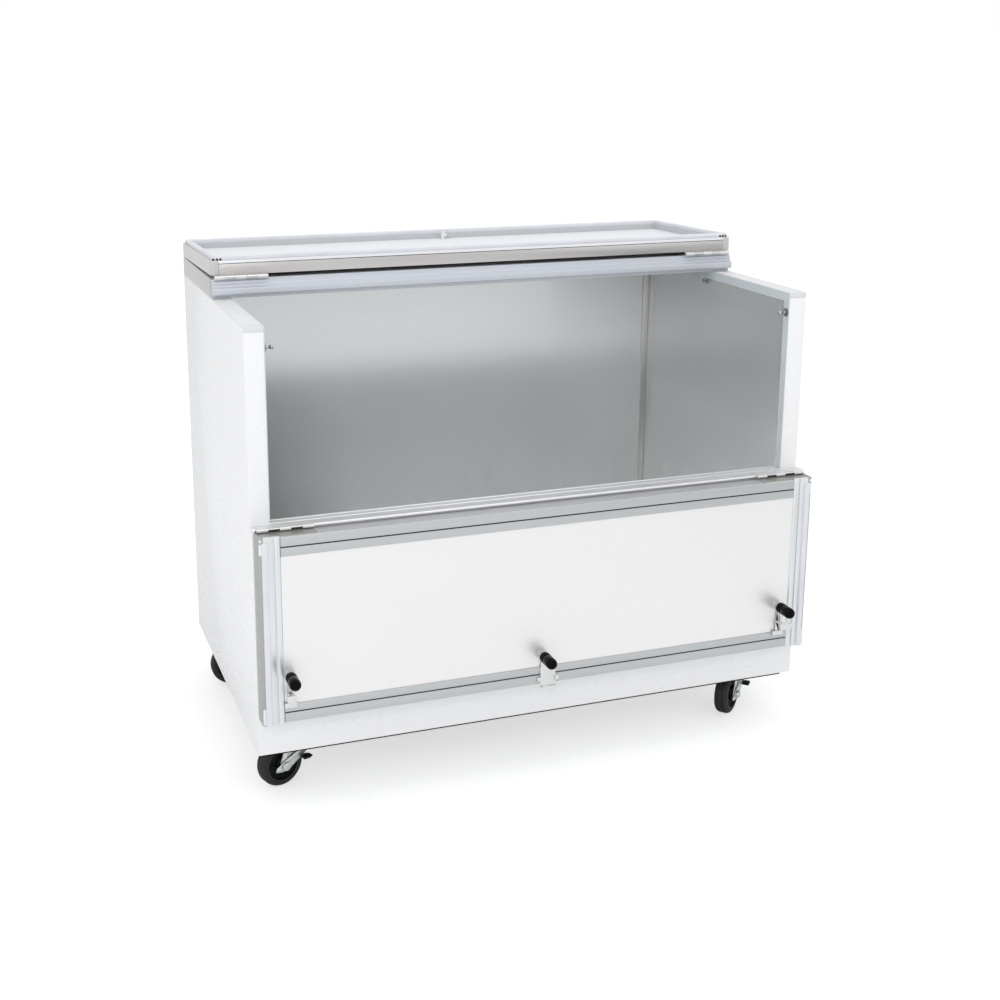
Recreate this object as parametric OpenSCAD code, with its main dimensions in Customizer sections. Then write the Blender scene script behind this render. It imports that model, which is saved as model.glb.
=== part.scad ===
// Milk cooler: a chest-type refrigerated cabinet on casters with a flip-up lid and a drop front.
// Sizes are in millimetres. Inside the modules X runs from the middle, Y from the front panel's face
// and Z from the cabinet's lower edge; place() then moves the origin to the floor under the middle.

/* [Cabinet] */
// Width over the side panels
body_w = 1245; // [1150:5:1400]
// Depth from the front panel to the back panel
body_d = 730; // [700:5:800]
// Height of the side walls over the cabinet's lower edge
wall_top = 885; // [870:5:920]
// Thickness of a side wall
wall_t = 40; // [36:1:48]
// Thickness of the back wall
back_t = 42; // [36:1:60]
// Thickness of the low front wall
front_t = 44; // [40:1:56]
// Gap between the closed drop front and the side walls' front faces
seal_gap = 6; // [5:0.5:9]
// Height of the front panel
front_h = 481; // [460:1:500]
// Height of the liner's floor
floor_z = 235; // [225:5:260]
// Foam under the liner's floor
floor_foam_t = 45; // [35:1:50]
// Thickness of the outer sheet
skin_t = 1.2; // [0.8:0.1:1.6]
// Thickness of the liner sheet
liner_t = 1; // [0.6:0.1:1.5]

/* [Trim] */
// Thickness of the caps on the side walls
cap_t = 3; // [2:0.5:6]
// Drop of a corner cap over the wall's front face
corner_drop = 12; // [8:1:20]
// Length of a corner cap
corner_len = 16; // [10:1:25]
// Height of the breaker strip under a cap
breaker_h = 20; // [14:1:30]
// Thickness of the breaker strip
breaker_t = 1.5; // [1:0.1:3]
// Thickness of the sill rail
sill_t = 7; // [6:0.5:10]
// Reach of the sill's nose in front of the front panel
sill_nose = 9.5; // [8:0.5:14]

/* [Fixed top] */
// Height of the fixed top over the side walls
top_h = 41; // [38:1:50]
// Distance of the fixed top's front edge from the front panel
top_front = 358; // [340:1:380]
// Reach of the front rail's nose
nose_reach = 14; // [10:1:16]
// Sheet of the fixed top and the lid
cover_t = 1; // [0.8:0.1:1.5]

/* [Lid] */
// Height of the lid's gasket
seal_h = 9.2; // [7:0.2:11]
// Width of the lid's rim
rim_w = 22; // [20:1:30]
// Depth of the inner panel below the rim
rim_deep = 12; // [10:1:16]
// Thickness of the lid's inner panel
panel_t = 2; // [1.5:0.5:3]
// Gap between the fixed top and the lid when it is flipped back
lid_lift = 9; // [8.6:0.2:12]
// Width of the lid's gasket
seal_w = 10; // [8:1:12]
// Side of a lid corner cap
lid_corner = 17; // [14:1:20]
// Overhang of the closed lid in front of the drop front
lid_overhang = 7; // [3:1:12]

/* [Drop front] */
// Thickness of the drop front
door_t = 40; // [36:1:41]
// Width of a stile
stile_w = 45; // [42:1:55]
// Width of the rail at the hinges
hinge_rail_h = 40; // [36:1:60]
// Width of the rail at the free edge
free_rail_h = 38; // [34:1:50]
// Gap between the drop front's ends and the cabinet's sides
door_side_gap = 1; // [0.5:0.5:3]
// How much shorter the rails are than the stiles at each edge
rail_short = 2.5; // [2:0.5:4]

/* [Hinges] */
// Length of a hinge
hinge_len = 115; // [80:5:150]
// Distance of a hinge from the cabinet's side
hinge_inset = 6; // [4:1:40]
// Number of knuckles in a hinge
knuckles = 5; // [3:2:7]
// Thickness of a hinge leaf
leaf_t = 1.2; // [1:0.1:1.4]
// Width of a hinge leaf
leaf_w = 22; // [16:1:24]
// Radius of a hinge pin
pin_r = 1.8; // [1.4:0.1:2.2]

/* [Latches] */
// Distance of the left bolt from the side wall
bolt_left = 18; // [16:1:40]
// Distance of the right bolt from the side wall
bolt_right = 30; // [16:1:50]
// Distance of the middle bolt from the middle, to the left
bolt_mid = 18; // [0:1:60]
// Height of the outer grips over the free edge
grip_up = 102; // [96:1:130]
// Height of the middle grip over the free edge
mid_grip_up = 66; // [64:1:90]
// Radius of a grip
grip_r = 12; // [9:0.5:13]
// Length of a grip
grip_len = 52; // [40:1:60]
// Gap between a grip and the drop front's face
grip_gap = 6; // [3:1:8]
// Radius of a wall catch's pin
catch_r = 3; // [2.5:0.5:4]

/* [Casters] */
// Height of the cabinet's lower edge over the floor
caster_drop = 114; // [108:1:125]
// Radius of a wheel
wheel_r = 50; // [44:1:52]
// Width of a wheel
wheel_w = 32; // [26:1:36]
// Distance of a caster's swivel axis from the cabinet's side
caster_side = 92.5; // [85:0.5:120]
// Distance of a front caster's swivel axis from the front
caster_end = 96; // [90:1:110]
// Distance of a rear caster's swivel axis from the back
caster_rear = 116; // [100:1:125]
// Distance of the wheel's axle from the swivel axis
caster_trail = 36; // [34:1:42]

/* [Cooling] */
// Passes of the evaporator tube round the liner
evap_passes = 7; // [5:2:7]
// Radius of the evaporator tube
evap_r = 4; // [3:0.5:5]
// Radius of the compressor's shell
comp_r = 68; // [60:1:75]
// Radius of the condenser fan
fan_r = 62; // [50:1:66]
// Fins of the condenser coil
fins = 15; // [9:2:21]

/* [Hidden] */
$fn = 48;

// Clearances
seam = 0.2;
run_gap = 0.3;
pin_play = 0.05;
edge = 0.01;

// Cabinet
half_w = body_w / 2;
inner_x = half_w - wall_t;
back_y = body_d - back_t;
sill_top = front_h + sill_t;
wall_body_top = wall_top - cap_t;
bay_top = floor_z - liner_t - floor_foam_t;
cover_z = bay_top - skin_t;
base_z = 16;
base_t = 2;
deck_z = base_z + base_t;

// Hinge of the drop front
knuckle_r = 3.5;
knuckle_gap = 0.4;
door_axis_y = -sill_nose - 0.6 - knuckle_r;
door_axis_z = sill_top + leaf_t - knuckle_r;
door_end_e = knuckle_r + run_gap;
door_rail_e = door_end_e + rail_short;

// Drop front, hanging open; shut, it ends just over the side walls
door_over = 0.5;
door_h = wall_top + door_over - door_axis_z - door_end_e;
door_top = door_axis_z - door_end_e;
door_bottom = door_top - door_h;
door_back = -5;
door_face = door_back - door_t;
door_x = half_w - door_side_gap;
rail_top = door_axis_z - door_rail_e;
rail_bottom = door_bottom + rail_short;
panel_z0 = rail_bottom + free_rail_h;
panel_z1 = rail_top - hinge_rail_h;
panel_x = door_x - stile_w;
panel_face = door_face + 2;
front_step = 2 * door_axis_y - door_face + seal_gap;
front_skin_end = front_step + skin_t;

// Lid, modelled closed and then turned back
collar_top = wall_top + top_h;
nose_y = top_front - nose_reach;
lid_rear = nose_y - 1;
lid_axis_y = (lid_rear + top_front) / 2;
lid_axis_z = collar_top + lid_lift / 2;
closed_door_front = 2 * door_axis_y - door_back;
lid_front = closed_door_front - lid_overhang;
lid_len = lid_rear - lid_front;
lid_t = top_h - seal_h - run_gap - door_over;
lid_bottom = collar_top - lid_t;
lid_tilt = asin((lid_lift - 1.2) / (lid_len + (top_front - lid_rear) / 2));
seal_in = 6;
lid_knuckle_r = lid_lift / 2 - run_gap;

// Casters
axle_z = wheel_r - caster_drop - base_z;
plate_t = 4;
race_t = 5;
crown_z = -plate_t - race_t - run_gap;
crown_t = 3.5;
leg_y = wheel_w / 2 + 2.5;
leg_t = 3;
axle_r = 6;
king_r = 5;

// Machine bay
comp_x = 330;
comp_y = 470;
fan_x = -90;
fan_z = deck_z + fan_r + 10;
coil_y = body_d - 62;
coil_w = 2 * fan_r + 60;
coil_d = 34;
coil_z0 = deck_z;
coil_h = bay_top - 14 - coil_z0;
shroud_y = coil_y - 26;
box_x = 500;
box_w = 120;
box_h = 100;
box_d = 70;
dial_z = 112;
gland_z = 56;

// Bounds of the whole object, for the origin
front_reach = door_face - grip_gap - grip_len;
dial_out = 9;
rear_reach = max(body_d + dial_out, 2 * lid_axis_y - lid_front + 1);
y_mid = (front_reach + rear_reach) / 2;

module place() { translate([0, -y_mid, caster_drop]) children(); }
module lid_place() {
  place() translate([0, lid_axis_y, lid_axis_z]) rotate([-180 - lid_tilt, 0, 0])
    translate([0, -lid_axis_y, -lid_axis_z]) children();
}

// A block from its low corner to its high corner
module block(a, b) { translate(a) cube(b - a); }
// A profile drawn in Y and Z, run along X
module run_x(x0, x1) { translate([x0, 0, 0]) rotate([90, 0, 90]) linear_extrude(x1 - x0) children(); }
// A profile drawn in X and Z, run along Y
module run_y(y0, y1) { translate([0, y1, 0]) rotate([90, 0, 0]) linear_extrude(y1 - y0) children(); }
module both_sides() { children(); mirror([1, 0, 0]) children(); }
module rod_x(x0, x1, r) { translate([x0, 0, 0]) rotate([0, 90, 0]) cylinder(h = x1 - x0, r = r); }
module rod_y(y0, y1, r) { translate([0, y0, 0]) rotate([-90, 0, 0]) cylinder(h = y1 - y0, r = r); }
// A quarter of a round frame profile
function arc(cx, cy, r, a0, a1, n = 5) = [for (i = [0:n]) let (a = a0 + (a1 - a0) * i / n)
  [cx + r * cos(a), cy + r * sin(a)]];

// One side panel, the left one: outer sheet with its front and rear flanges
side_flange = 18;
module side_sheet() {
  run_x(-half_w, -half_w + skin_t) polygon([
    [skin_t + seam, 0], [body_d - skin_t - seam, 0], [body_d - skin_t - seam, wall_body_top],
    [front_skin_end, wall_body_top], [front_skin_end, wall_top - corner_drop],
    [front_step, wall_top - corner_drop], [front_step, front_h], [skin_t + seam, front_h]]);
  block([-half_w + skin_t, front_step, front_h], [-inner_x, front_skin_end, wall_top - corner_drop]);
  block([-half_w + skin_t, skin_t + seam, 0],
        [-half_w + side_flange, body_d - skin_t - seam, skin_t]);
}
module left_side_panel() { color("white") place() side_sheet(); }
module right_side_panel() { color("white") place() mirror([1, 0, 0]) side_sheet(); }

module front_panel() {
  color("white") place() {
    block([-half_w, 0, 0], [half_w, skin_t, front_h]);
    block([-half_w + side_flange + 1, skin_t, 0], [half_w - side_flange - 1, side_flange, skin_t]);
  }
}

module back_panel() {
  color("gainsboro") place()
    block([-half_w, body_d - skin_t, cover_z], [half_w, body_d, wall_body_top]);
}

// Louvred cover over the machine bay
louvre_w = 150;
louvre_pitch = 15;
louvre_rows = 8;
module louvre(x, z) {
  translate([x - louvre_w / 2, 0, z]) run_x(0, louvre_w)
    polygon([[body_d - skin_t, 9], [body_d, 9], [body_d + 5, 3], [body_d + 5, 2],
             [body_d, 7.8], [body_d - skin_t, 7.8]]);
}
module louvre_slot(x, z) {
  block([x - louvre_w / 2 + 1, body_d - skin_t - 1, z + 1], [x + louvre_w / 2 - 1, body_d + 1, z + 7.8]);
}
module rear_louvre_cover() {
  z0 = 28;
  color("gainsboro") place() {
    difference() {
      block([-half_w, body_d - skin_t, 0], [half_w, body_d, cover_z - seam]);
      for (x = [fan_x - 85, fan_x + 85, comp_x - 20], i = [0:louvre_rows - 1])
        louvre_slot(x, z0 + louvre_pitch * i);
      translate([box_x, 0, dial_z]) rod_y(body_d - 5, body_d + 5, 21);
      translate([box_x - 40, 0, gland_z]) rod_y(body_d - 5, body_d + 5, 9.3);
    }
    for (x = [fan_x - 85, fan_x + 85, comp_x - 20], i = [0:louvre_rows - 1])
      louvre(x, z0 + louvre_pitch * i);
  }
}

// Liner: floor, back, low front and two side walls that reach forward over the sill
drain_x = 400;
drain_y = 110;
drain_r = 11;
module wall_outline(y0, y1, z0, z1, grow = 0) {
  polygon([[y0, z0], [y1, z0], [y1, z1], [front_skin_end, z1], [front_skin_end, sill_top + seam],
           [y0, sill_top + seam]]);
}
module inner_liner() {
  color("silver") place() difference() {
    union() {
      both_sides() run_x(-inner_x - liner_t, -inner_x)
        wall_outline(front_t - liner_t, back_y + liner_t, floor_z - liner_t, wall_body_top);
      block([-inner_x - edge, back_y, floor_z - liner_t], [inner_x + edge, back_y + liner_t, wall_body_top]);
      block([-inner_x - edge, front_t - liner_t, floor_z - liner_t], [inner_x + edge, front_t, front_h]);
      block([-inner_x - edge, front_t - liner_t, floor_z - liner_t],
            [inner_x + edge, back_y + liner_t, floor_z]);
    }
    translate([drain_x, drain_y, floor_z - 5]) cylinder(h = 10, r = drain_r + 7 + run_gap);
  }
}

// Foam round the liner, grooved for the evaporator tube, and the foam in the fixed top
groove = evap_r + 0.5;
evap_off = groove + 3.5; // lets the corner bends clear the liner
evap_z0 = floor_z + 60;
evap_pitch = (wall_top - 90 - evap_z0) / (evap_passes - 1);
evap_x = inner_x + liner_t + evap_off;
evap_yb = back_y + liner_t + evap_off;
evap_y0 = front_t + 45;
bend_r = 16;
evap_z1 = evap_z0 + (evap_passes - 1) * evap_pitch;
riser_y = evap_y0 - 24 - bend_r;
module evap_groove() {
  for (i = [0:evap_passes - 1]) translate([0, 0, evap_z0 + i * evap_pitch]) {
    both_sides() block([-evap_x - groove, evap_y0 - 8, -groove],
                       [-evap_x + evap_off + 1, evap_yb + groove, groove]);
    block([-evap_x, evap_yb - evap_off - 1, -groove], [evap_x, evap_yb + groove, groove]);
    both_sides() block([-evap_x - groove, evap_yb - bend_r - 8, -groove],
                       [-evap_x + bend_r + 8, evap_yb + groove, groove]);
  }
  for (i = [0:evap_passes - 2]) mirror([(i + 1) % 2, 0, 0])
    block([-evap_x - groove, evap_y0 - groove - bend_r - 1, evap_z0 + i * evap_pitch - groove],
          [-evap_x + evap_off + 1, evap_y0 + bend_r, evap_z0 + (i + 1) * evap_pitch + groove]);
  block([-evap_x - groove, evap_y0 - bend_r - groove, bay_top - 1],
        [-evap_x + evap_off + 1, evap_y0 + 4, evap_z0 + groove]);
  block([evap_x - evap_off - 1, riser_y - groove, bay_top - 1],
        [evap_x + groove, evap_y0 + 4, evap_z1 + groove]);
}
module foam_insulation() {
  color("khaki") place() {
    difference() {
      union() {
        both_sides() run_x(-half_w + skin_t, -inner_x - liner_t)
          wall_outline(skin_t, body_d - skin_t, bay_top, wall_body_top);
        block([-inner_x - liner_t, back_y + liner_t, bay_top],
              [inner_x + liner_t, body_d - skin_t, wall_body_top]);
        block([-inner_x - liner_t, skin_t, bay_top], [inner_x + liner_t, front_t - liner_t, front_h]);
        block([-inner_x - liner_t, skin_t, bay_top], [inner_x + liner_t, body_d - skin_t, floor_z - liner_t]);
      }
      both_sides() block([-half_w, skin_t - 1, front_h], [-inner_x, front_skin_end, wall_body_top + 1]);
      evap_groove();
      translate([drain_x, drain_y, bay_top - 5]) cylinder(h = floor_foam_t + 10, r = drain_r);
    }
    block([-half_w + cover_t, top_front + 16, wall_top + panel_t],
          [half_w - cover_t, body_d - cover_t, collar_top - cover_t]);
  }
}

// Base: a flat pan with turned-up edges, cross channels over the casters and an air inlet
pan_in = skin_t + seam;
module base_frame() {
  px = half_w - pan_in;
  color("dimgray") place() difference() {
    union() {
      block([-px, pan_in, base_z], [px, body_d - pan_in, deck_z]);
      both_sides() block([-px, pan_in, base_z], [-px + base_t, body_d - pan_in, base_z + 26]);
      block([-px, pan_in, base_z], [px, pan_in + base_t, base_z + 26]);
      block([-px, body_d - pan_in - base_t, base_z], [px, body_d - pan_in, base_z + 26]);
    }
    for (i = [0:9]) block([fan_x - 130 + 28 * i, 250, base_z - 1], [fan_x - 118 + 28 * i, 400, deck_z + 1]);
    translate([drain_x, drain_y, base_z - 5]) cylinder(h = 12, r = drain_r + 1);
  }
}

// Caps on the side walls and their front corners
module wall_caps() {
  y0 = front_step + corner_len;
  color("white") place() both_sides() {
    block([-half_w, y0 + seam, wall_body_top], [-inner_x, body_d, wall_top]);
    difference() {
      run_y(front_step, y0) polygon(concat([[-inner_x, wall_top - corner_drop], [-inner_x, wall_top]],
        arc(-half_w + 3, wall_top - 3, 3, 90, 180), [[-half_w, wall_top - corner_drop]]));
      block([-half_w - 1, front_skin_end, wall_top - corner_drop - 1], [-inner_x + 1, y0 + 1, wall_body_top]);
    }
  }
  color("white") place() block([-inner_x, back_y, wall_body_top], [inner_x, body_d, wall_top]);
}

// Breaker strips on the inner edge: along under the cap and down the front edge
module breaker_strips() {
  color("lightsteelblue") place() both_sides()
    run_x(-inner_x, -inner_x + breaker_t) polygon([
      [front_step, sill_top + seam], [front_step + breaker_h, sill_top + seam],
      [front_step + breaker_h, wall_top - breaker_h], [back_y - seam, wall_top - breaker_h],
      [back_y - seam, wall_top - seam], [front_step, wall_top - seam]]);
}

// Sill rail: a ribbed aluminium threshold with a thin rounded nose
module sill_outline() {
  back = front_t + 2;
  r = (sill_t - 1.5) / 2 - 0.1;
  flat = door_axis_y + knuckle_r + leaf_w + 0.5;
  polygon(concat(
    arc(-sill_nose + r, front_h + 1.5 + r, r, 270, 180, 4), arc(-sill_nose + r, sill_top - r, r, 180, 90, 4),
    [[flat, sill_top], [flat + 0.5, sill_top - 0.8], [flat + 8, sill_top - 0.8], [flat + 8.5, sill_top],
     [flat + 11.5, sill_top], [flat + 12, sill_top - 0.8], [back - 6, sill_top - 0.8],
     [back - 5.5, sill_top], [back, sill_top - 0.6], [back, front_h - 7], [front_t + seam, front_h - 7],
     [front_t + seam, front_h], [-1, front_h], [-1, front_h + 1.5]]));
}
module sill_rail() {
  color("lightgray") place() difference() {
    run_x(-half_w, half_w) sill_outline();
    both_sides() block([-half_w - 1, front_step, front_h - 10], [-inner_x + seam, front_t + 5, sill_top + 1]);
  }
}

// Fixed top: stainless cover over the rear
module fixed_top_cover() {
  y0 = top_front + 16;
  color("silver") place() {
    block([-half_w, y0, collar_top - cover_t], [half_w, body_d, collar_top]);
    both_sides() block([-half_w, y0, wall_top], [-half_w + cover_t, body_d, collar_top - cover_t]);
    block([-half_w + cover_t, body_d - cover_t, wall_top], [half_w - cover_t, body_d, collar_top - cover_t]);
  }
}

// Front rail of the fixed top: a stepped extrusion with a nose
module top_rail_outline() {
  h = top_h;
  z = wall_top;
  polygon(concat(
    [[top_front + 16, z], [top_front, z], [top_front, z + 0.15 * h], [nose_y + 2, z + 0.2 * h]],
    arc(nose_y + 2, z + 0.27 * h, 2, 270, 180, 3), arc(nose_y + 2, z + 0.52 * h, 2, 180, 90, 3),
    [[top_front - 7, z + 0.62 * h], [top_front - 7, z + 0.72 * h], [top_front - 4, z + 0.76 * h],
     [top_front - 4, z + 0.9 * h], [top_front, z + 0.93 * h], [top_front, z + h],
     [top_front + 16, z + h]]));
}
module fixed_top_rail() {
  color("lightsteelblue") place() difference() {
    run_x(-half_w, half_w) top_rail_outline();
    run_x(-half_w - 1, half_w + 1) polygon([
      [top_front + 3, wall_top + 3], [top_front + 13, wall_top + 3],
      [top_front + 13, collar_top - 3], [top_front + 3, collar_top - 3]]);
  }
}

module fixed_top_underside() {
  color("white") place()
    block([-half_w + cover_t, top_front + 16, wall_top], [half_w - cover_t, body_d - cover_t, wall_top + panel_t]);
}

// Evaporator: one serpentine tube round three sides of the liner
module evap_corner() { // from the left run to the back run
  translate([-evap_x + bend_r, evap_yb - bend_r, 0]) rotate([0, 0, 90])
    rotate_extrude(angle = 90) translate([bend_r, 0]) circle(evap_r);
}
module evap_bend(a) { // a quarter bend in the Y-Z plane, from angle a
  rotate([90, 0, 90]) rotate([0, 0, a]) rotate_extrude(angle = 90) translate([bend_r, 0]) circle(evap_r);
}
module evap_turn(h) { // joins two left runs at the front
  translate([-evap_x, evap_y0, 0]) {
    translate([0, 0, bend_r]) evap_bend(180);
    translate([0, 0, h - bend_r]) evap_bend(90);
    translate([0, -bend_r, bend_r]) cylinder(h = h - 2 * bend_r, r = evap_r);
  }
}
module evap_drop(x, y, z) { // bends down from a run and ends under the foam
  translate([x, y, z - bend_r]) evap_bend(90);
  translate([x, y - bend_r, bay_top - 8]) cylinder(h = z - bend_r - bay_top + 8, r = evap_r);
}
module evaporator_tubing() {
  color("peru") place() {
    for (i = [0:evap_passes - 1]) translate([0, 0, evap_z0 + i * evap_pitch]) {
      both_sides() translate([-evap_x, 0, 0]) rod_y(evap_y0, evap_yb - bend_r, evap_r);
      both_sides() evap_corner();
      translate([0, evap_yb, 0]) rod_x(-evap_x + bend_r, evap_x - bend_r, evap_r);
    }
    for (i = [0:evap_passes - 2]) mirror([(i + 1) % 2, 0, 0])
      translate([0, 0, evap_z0 + i * evap_pitch]) evap_turn(evap_pitch);
    evap_drop(-evap_x, evap_y0, evap_z0);
    evap_drop(evap_x, evap_y0 - 24, evap_z1);
    translate([evap_x, 0, evap_z1]) rod_y(evap_y0 - 24, evap_y0, evap_r);
  }
}

// Hermetic compressor on four rubber feet
module compressor() {
  color("black") place() translate([comp_x, comp_y, deck_z]) {
    translate([0, 0, 14]) {
      cylinder(h = 78, r = comp_r);
      translate([0, 0, 78]) intersection() {
        scale(1) sphere(r = comp_r);
        cylinder(h = 44, r = comp_r);
      }
      translate([0, 0, 36]) cylinder(h = 7, r = comp_r + 3);
      block([-comp_r - 8, -comp_r - 8, -2], [comp_r + 8, comp_r + 8, 1]);
      block([-26, -comp_r - 16, 30], [26, -comp_r + 8, 82]);
    }
    for (x = [-1, 1], y = [-1, 1]) translate([x * (comp_r - 2), y * (comp_r - 2), 0]) cylinder(h = 12, r = 9);
  }
}

// Condenser: fins on a tube that runs to and fro
coil_rows = 6;
module condenser_coil() {
  row = coil_h / coil_rows;
  $fn = 20;
  color("darkgray") place() translate([fan_x, coil_y, coil_z0]) {
    for (i = [0:fins - 1]) translate([-coil_w / 2 + 8 + i * (coil_w - 16) / (fins - 1), 0, 0])
      block([-0.6, -coil_d / 2, 0], [0.6, coil_d / 2, coil_h]);
    for (i = [0:coil_rows - 1]) translate([0, 0, row * (i + 0.5)]) rod_x(-coil_w / 2, coil_w / 2, 4);
    for (i = [0:coil_rows - 2]) translate([(i % 2 == 0 ? -1 : 1) * coil_w / 2, 0, row * (i + 1)])
      mirror([(i + 1) % 2, 0, 0]) rotate([90, 0, 0]) rotate([0, 0, -90])
        rotate_extrude(angle = 180) translate([row / 2, 0]) circle(4);
  }
}

module fan_shroud() {
  color("gray") place() translate([fan_x, 0, 0]) difference() {
    union() {
      block([-coil_w / 2 + 10, coil_y - coil_d / 2 - 3, deck_z], [coil_w / 2 - 10, coil_y - coil_d / 2 - 1, coil_z0 + coil_h]);
      translate([0, 0, fan_z]) rod_y(shroud_y - 12, coil_y - coil_d / 2 - 1, fan_r + 8);
    }
    translate([0, 0, fan_z]) rod_y(shroud_y - 20, coil_y, fan_r + 6);
  }
}

// Fan motor on a foot
motor_y = shroud_y - 22;
module fan_motor() {
  color("dimgray") place() translate([fan_x, 0, fan_z]) {
    rod_y(motor_y - 50, motor_y, 32);
    rod_y(motor_y - edge, motor_y + 6, 12);
    rod_y(motor_y, motor_y + 20, 3);
    block([-22, motor_y - 45, deck_z - fan_z], [22, motor_y - 5, -24]);
  }
}
module fan_blade() {
  color("silver") place() translate([fan_x, motor_y + 12, fan_z]) difference() {
    union() {
      rod_y(-5, 7, 16);
      for (a = [0:72:359]) rotate([0, a, 0]) translate([0, 1, 12]) rotate([0, 0, 24])
        run_y(-0.6, 0.6) polygon([[-9, 0], [9, 0], [21, fan_r - 22], [12, fan_r - 14], [-10, fan_r - 16]]);
    }
    rod_y(-12, 12, 3 + pin_play);
  }
}

// Copper lines, as straight runs with round elbows
module pipe(pts, r) {
  for (i = [0:len(pts) - 2]) {
    v = pts[i + 1] - pts[i];
    l = norm(v);
    translate(pts[i]) rotate([0, acos(v[2] / l), atan2(v[1], v[0])]) cylinder(h = l, r = r, $fn = 24);
    if (i > 0) translate(pts[i]) sphere(r = r, $fn = 24);
  }
}
drier_x = 110;
drier_y = 560;
drier_z = 60;
comp_side = comp_x - comp_r;
port_z = deck_z + 74;
module refrigerant_lines() {
  row = coil_h / coil_rows;
  top_z = coil_z0 + row * (coil_rows - 0.5);
  low_z = coil_z0 + row / 2;
  color("peru") place() {
    pipe([[comp_side - 0.2, comp_y, port_z], [comp_side - 26, comp_y, port_z],
          [comp_side - 26, comp_y, top_z], [comp_side - 26, coil_y, top_z],
          [fan_x + coil_w / 2 + 0.2, coil_y, top_z]], 3.2);
    pipe([[fan_x + coil_w / 2 + 0.2, coil_y, low_z], [drier_x, coil_y, low_z],
          [drier_x, coil_y, drier_z], [drier_x, drier_y + 40.2, drier_z]], 3.2);
    pipe([[drier_x, drier_y - 40.2, drier_z], [drier_x, evap_y0 - bend_r, drier_z],
          [-evap_x, evap_y0 - bend_r, drier_z], [-evap_x, evap_y0 - bend_r, bay_top - 8.2]], 2.4);
    pipe([[evap_x, riser_y, bay_top - 8.2], [evap_x, riser_y, bay_top - 24],
          [evap_x, comp_y, bay_top - 24], [comp_x + comp_r + 20, comp_y, bay_top - 24],
          [comp_x + comp_r + 20, comp_y, port_z], [comp_x + comp_r + 0.2, comp_y, port_z]], 4);
  }
}
module filter_drier() {
  color("goldenrod") place() translate([drier_x, drier_y, drier_z]) {
    rod_y(-28, 28, 11);
    translate([0, -28, 0]) sphere(r = 11);
    translate([0, 28, 0]) sphere(r = 11);
    rod_y(-40, 40, 3.5);
    block([-8, -6, deck_z - drier_z], [8, 6, -6]);
  }
}

// Control box with the inlet gland; the dial turns on its spindle
dial_y = body_d - 6;
module control_box() {
  color("lightgray") place() translate([box_x, 0, 0]) {
    block([-box_w / 2, body_d - 14 - box_d, deck_z], [box_w / 2, body_d - 14, deck_z + box_h + 20]);
    translate([0, 0, dial_z]) rod_y(body_d - 14 - edge, body_d - 9, 14);
    translate([0, 0, dial_z]) rod_y(body_d - 14, body_d + 4, 4);
    translate([-40, 0, gland_z]) difference() {
      rod_y(body_d - 14, body_d + 6, 9);
      rod_y(body_d - 4, body_d + 10, 4.5);
    }
  }
}
module thermostat_dial() {
  color("black") place() translate([box_x, 0, dial_z]) difference() {
    union() {
      rod_y(body_d - 8.5, body_d + 6, 17);
      translate([0, 0, 0]) block([-2.5, body_d + 5, -15], [2.5, body_d + 9, 15]);
    }
    rod_y(body_d - 12, body_d + 4.5, 4 + pin_play);
  }
}

// Drain tube from the liner's floor through the base
module drain_tube() {
  color("white") place() translate([drain_x, drain_y, 0]) difference() {
    union() {
      translate([0, 0, 2]) cylinder(h = floor_z - liner_t - 2 + edge, r = drain_r - run_gap);
      translate([0, 0, floor_z - liner_t]) cylinder(h = liner_t, r = drain_r + 7);
    }
    translate([0, 0, 0]) cylinder(h = floor_z + 5, r = drain_r - 3);
  }
}

// Wall catches for the outer bolts, and the two small rest hooks behind them
catch_y = front_step + breaker_h / 2;
catch_z = wall_top - 44;
catch_len = 20;
module wall_catches() {
  color("silver") place() {
    both_sides() translate([-inner_x + breaker_t, catch_y, catch_z]) {
      rod_x(0, 2, 9);
      rod_x(2 - edge, 3.4, 6.5);
      rod_x(0, catch_len, catch_r);
      rod_x(catch_len - 3, catch_len, catch_r + 1.2);
    }
    both_sides() translate([-inner_x, top_front + 28, wall_top - breaker_h - 8]) {
      rod_x(0, 2.4, 6);
      rod_x(0, 12, 2.2);
      translate([10, 0, 0]) cylinder(h = 8, r = 2.2);
    }
  }
}

// A leaf with its own knuckles; odd or even ones, on a hinge centred on X = 0
function knuckle_len() = hinge_len / knuckles;
module knuckle_row(first, r) {
  for (i = [first:2:knuckles - 1])
    rod_x(-hinge_len / 2 + i * knuckle_len() + (i == 0 ? 0 : knuckle_gap / 2),
          -hinge_len / 2 + (i + 1) * knuckle_len() - (i == knuckles - 1 ? 0 : knuckle_gap / 2), r);
}
module knuckle_tab(first, y0, y1, z0, z1) {
  for (i = [first:2:knuckles - 1])
    block([-hinge_len / 2 + i * knuckle_len() + (i == 0 ? 0 : knuckle_gap / 2), y0, z0],
          [-hinge_len / 2 + (i + 1) * knuckle_len() - (i == knuckles - 1 ? 0 : knuckle_gap / 2), y1, z1]);
}
module hinge_bore() { rod_x(-hinge_len, hinge_len, pin_r + pin_play); }
module at_hinges() {
  for (s = [-1, 1]) translate([s * (half_w - hinge_inset - hinge_len / 2), 0, 0]) children();
}

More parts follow.
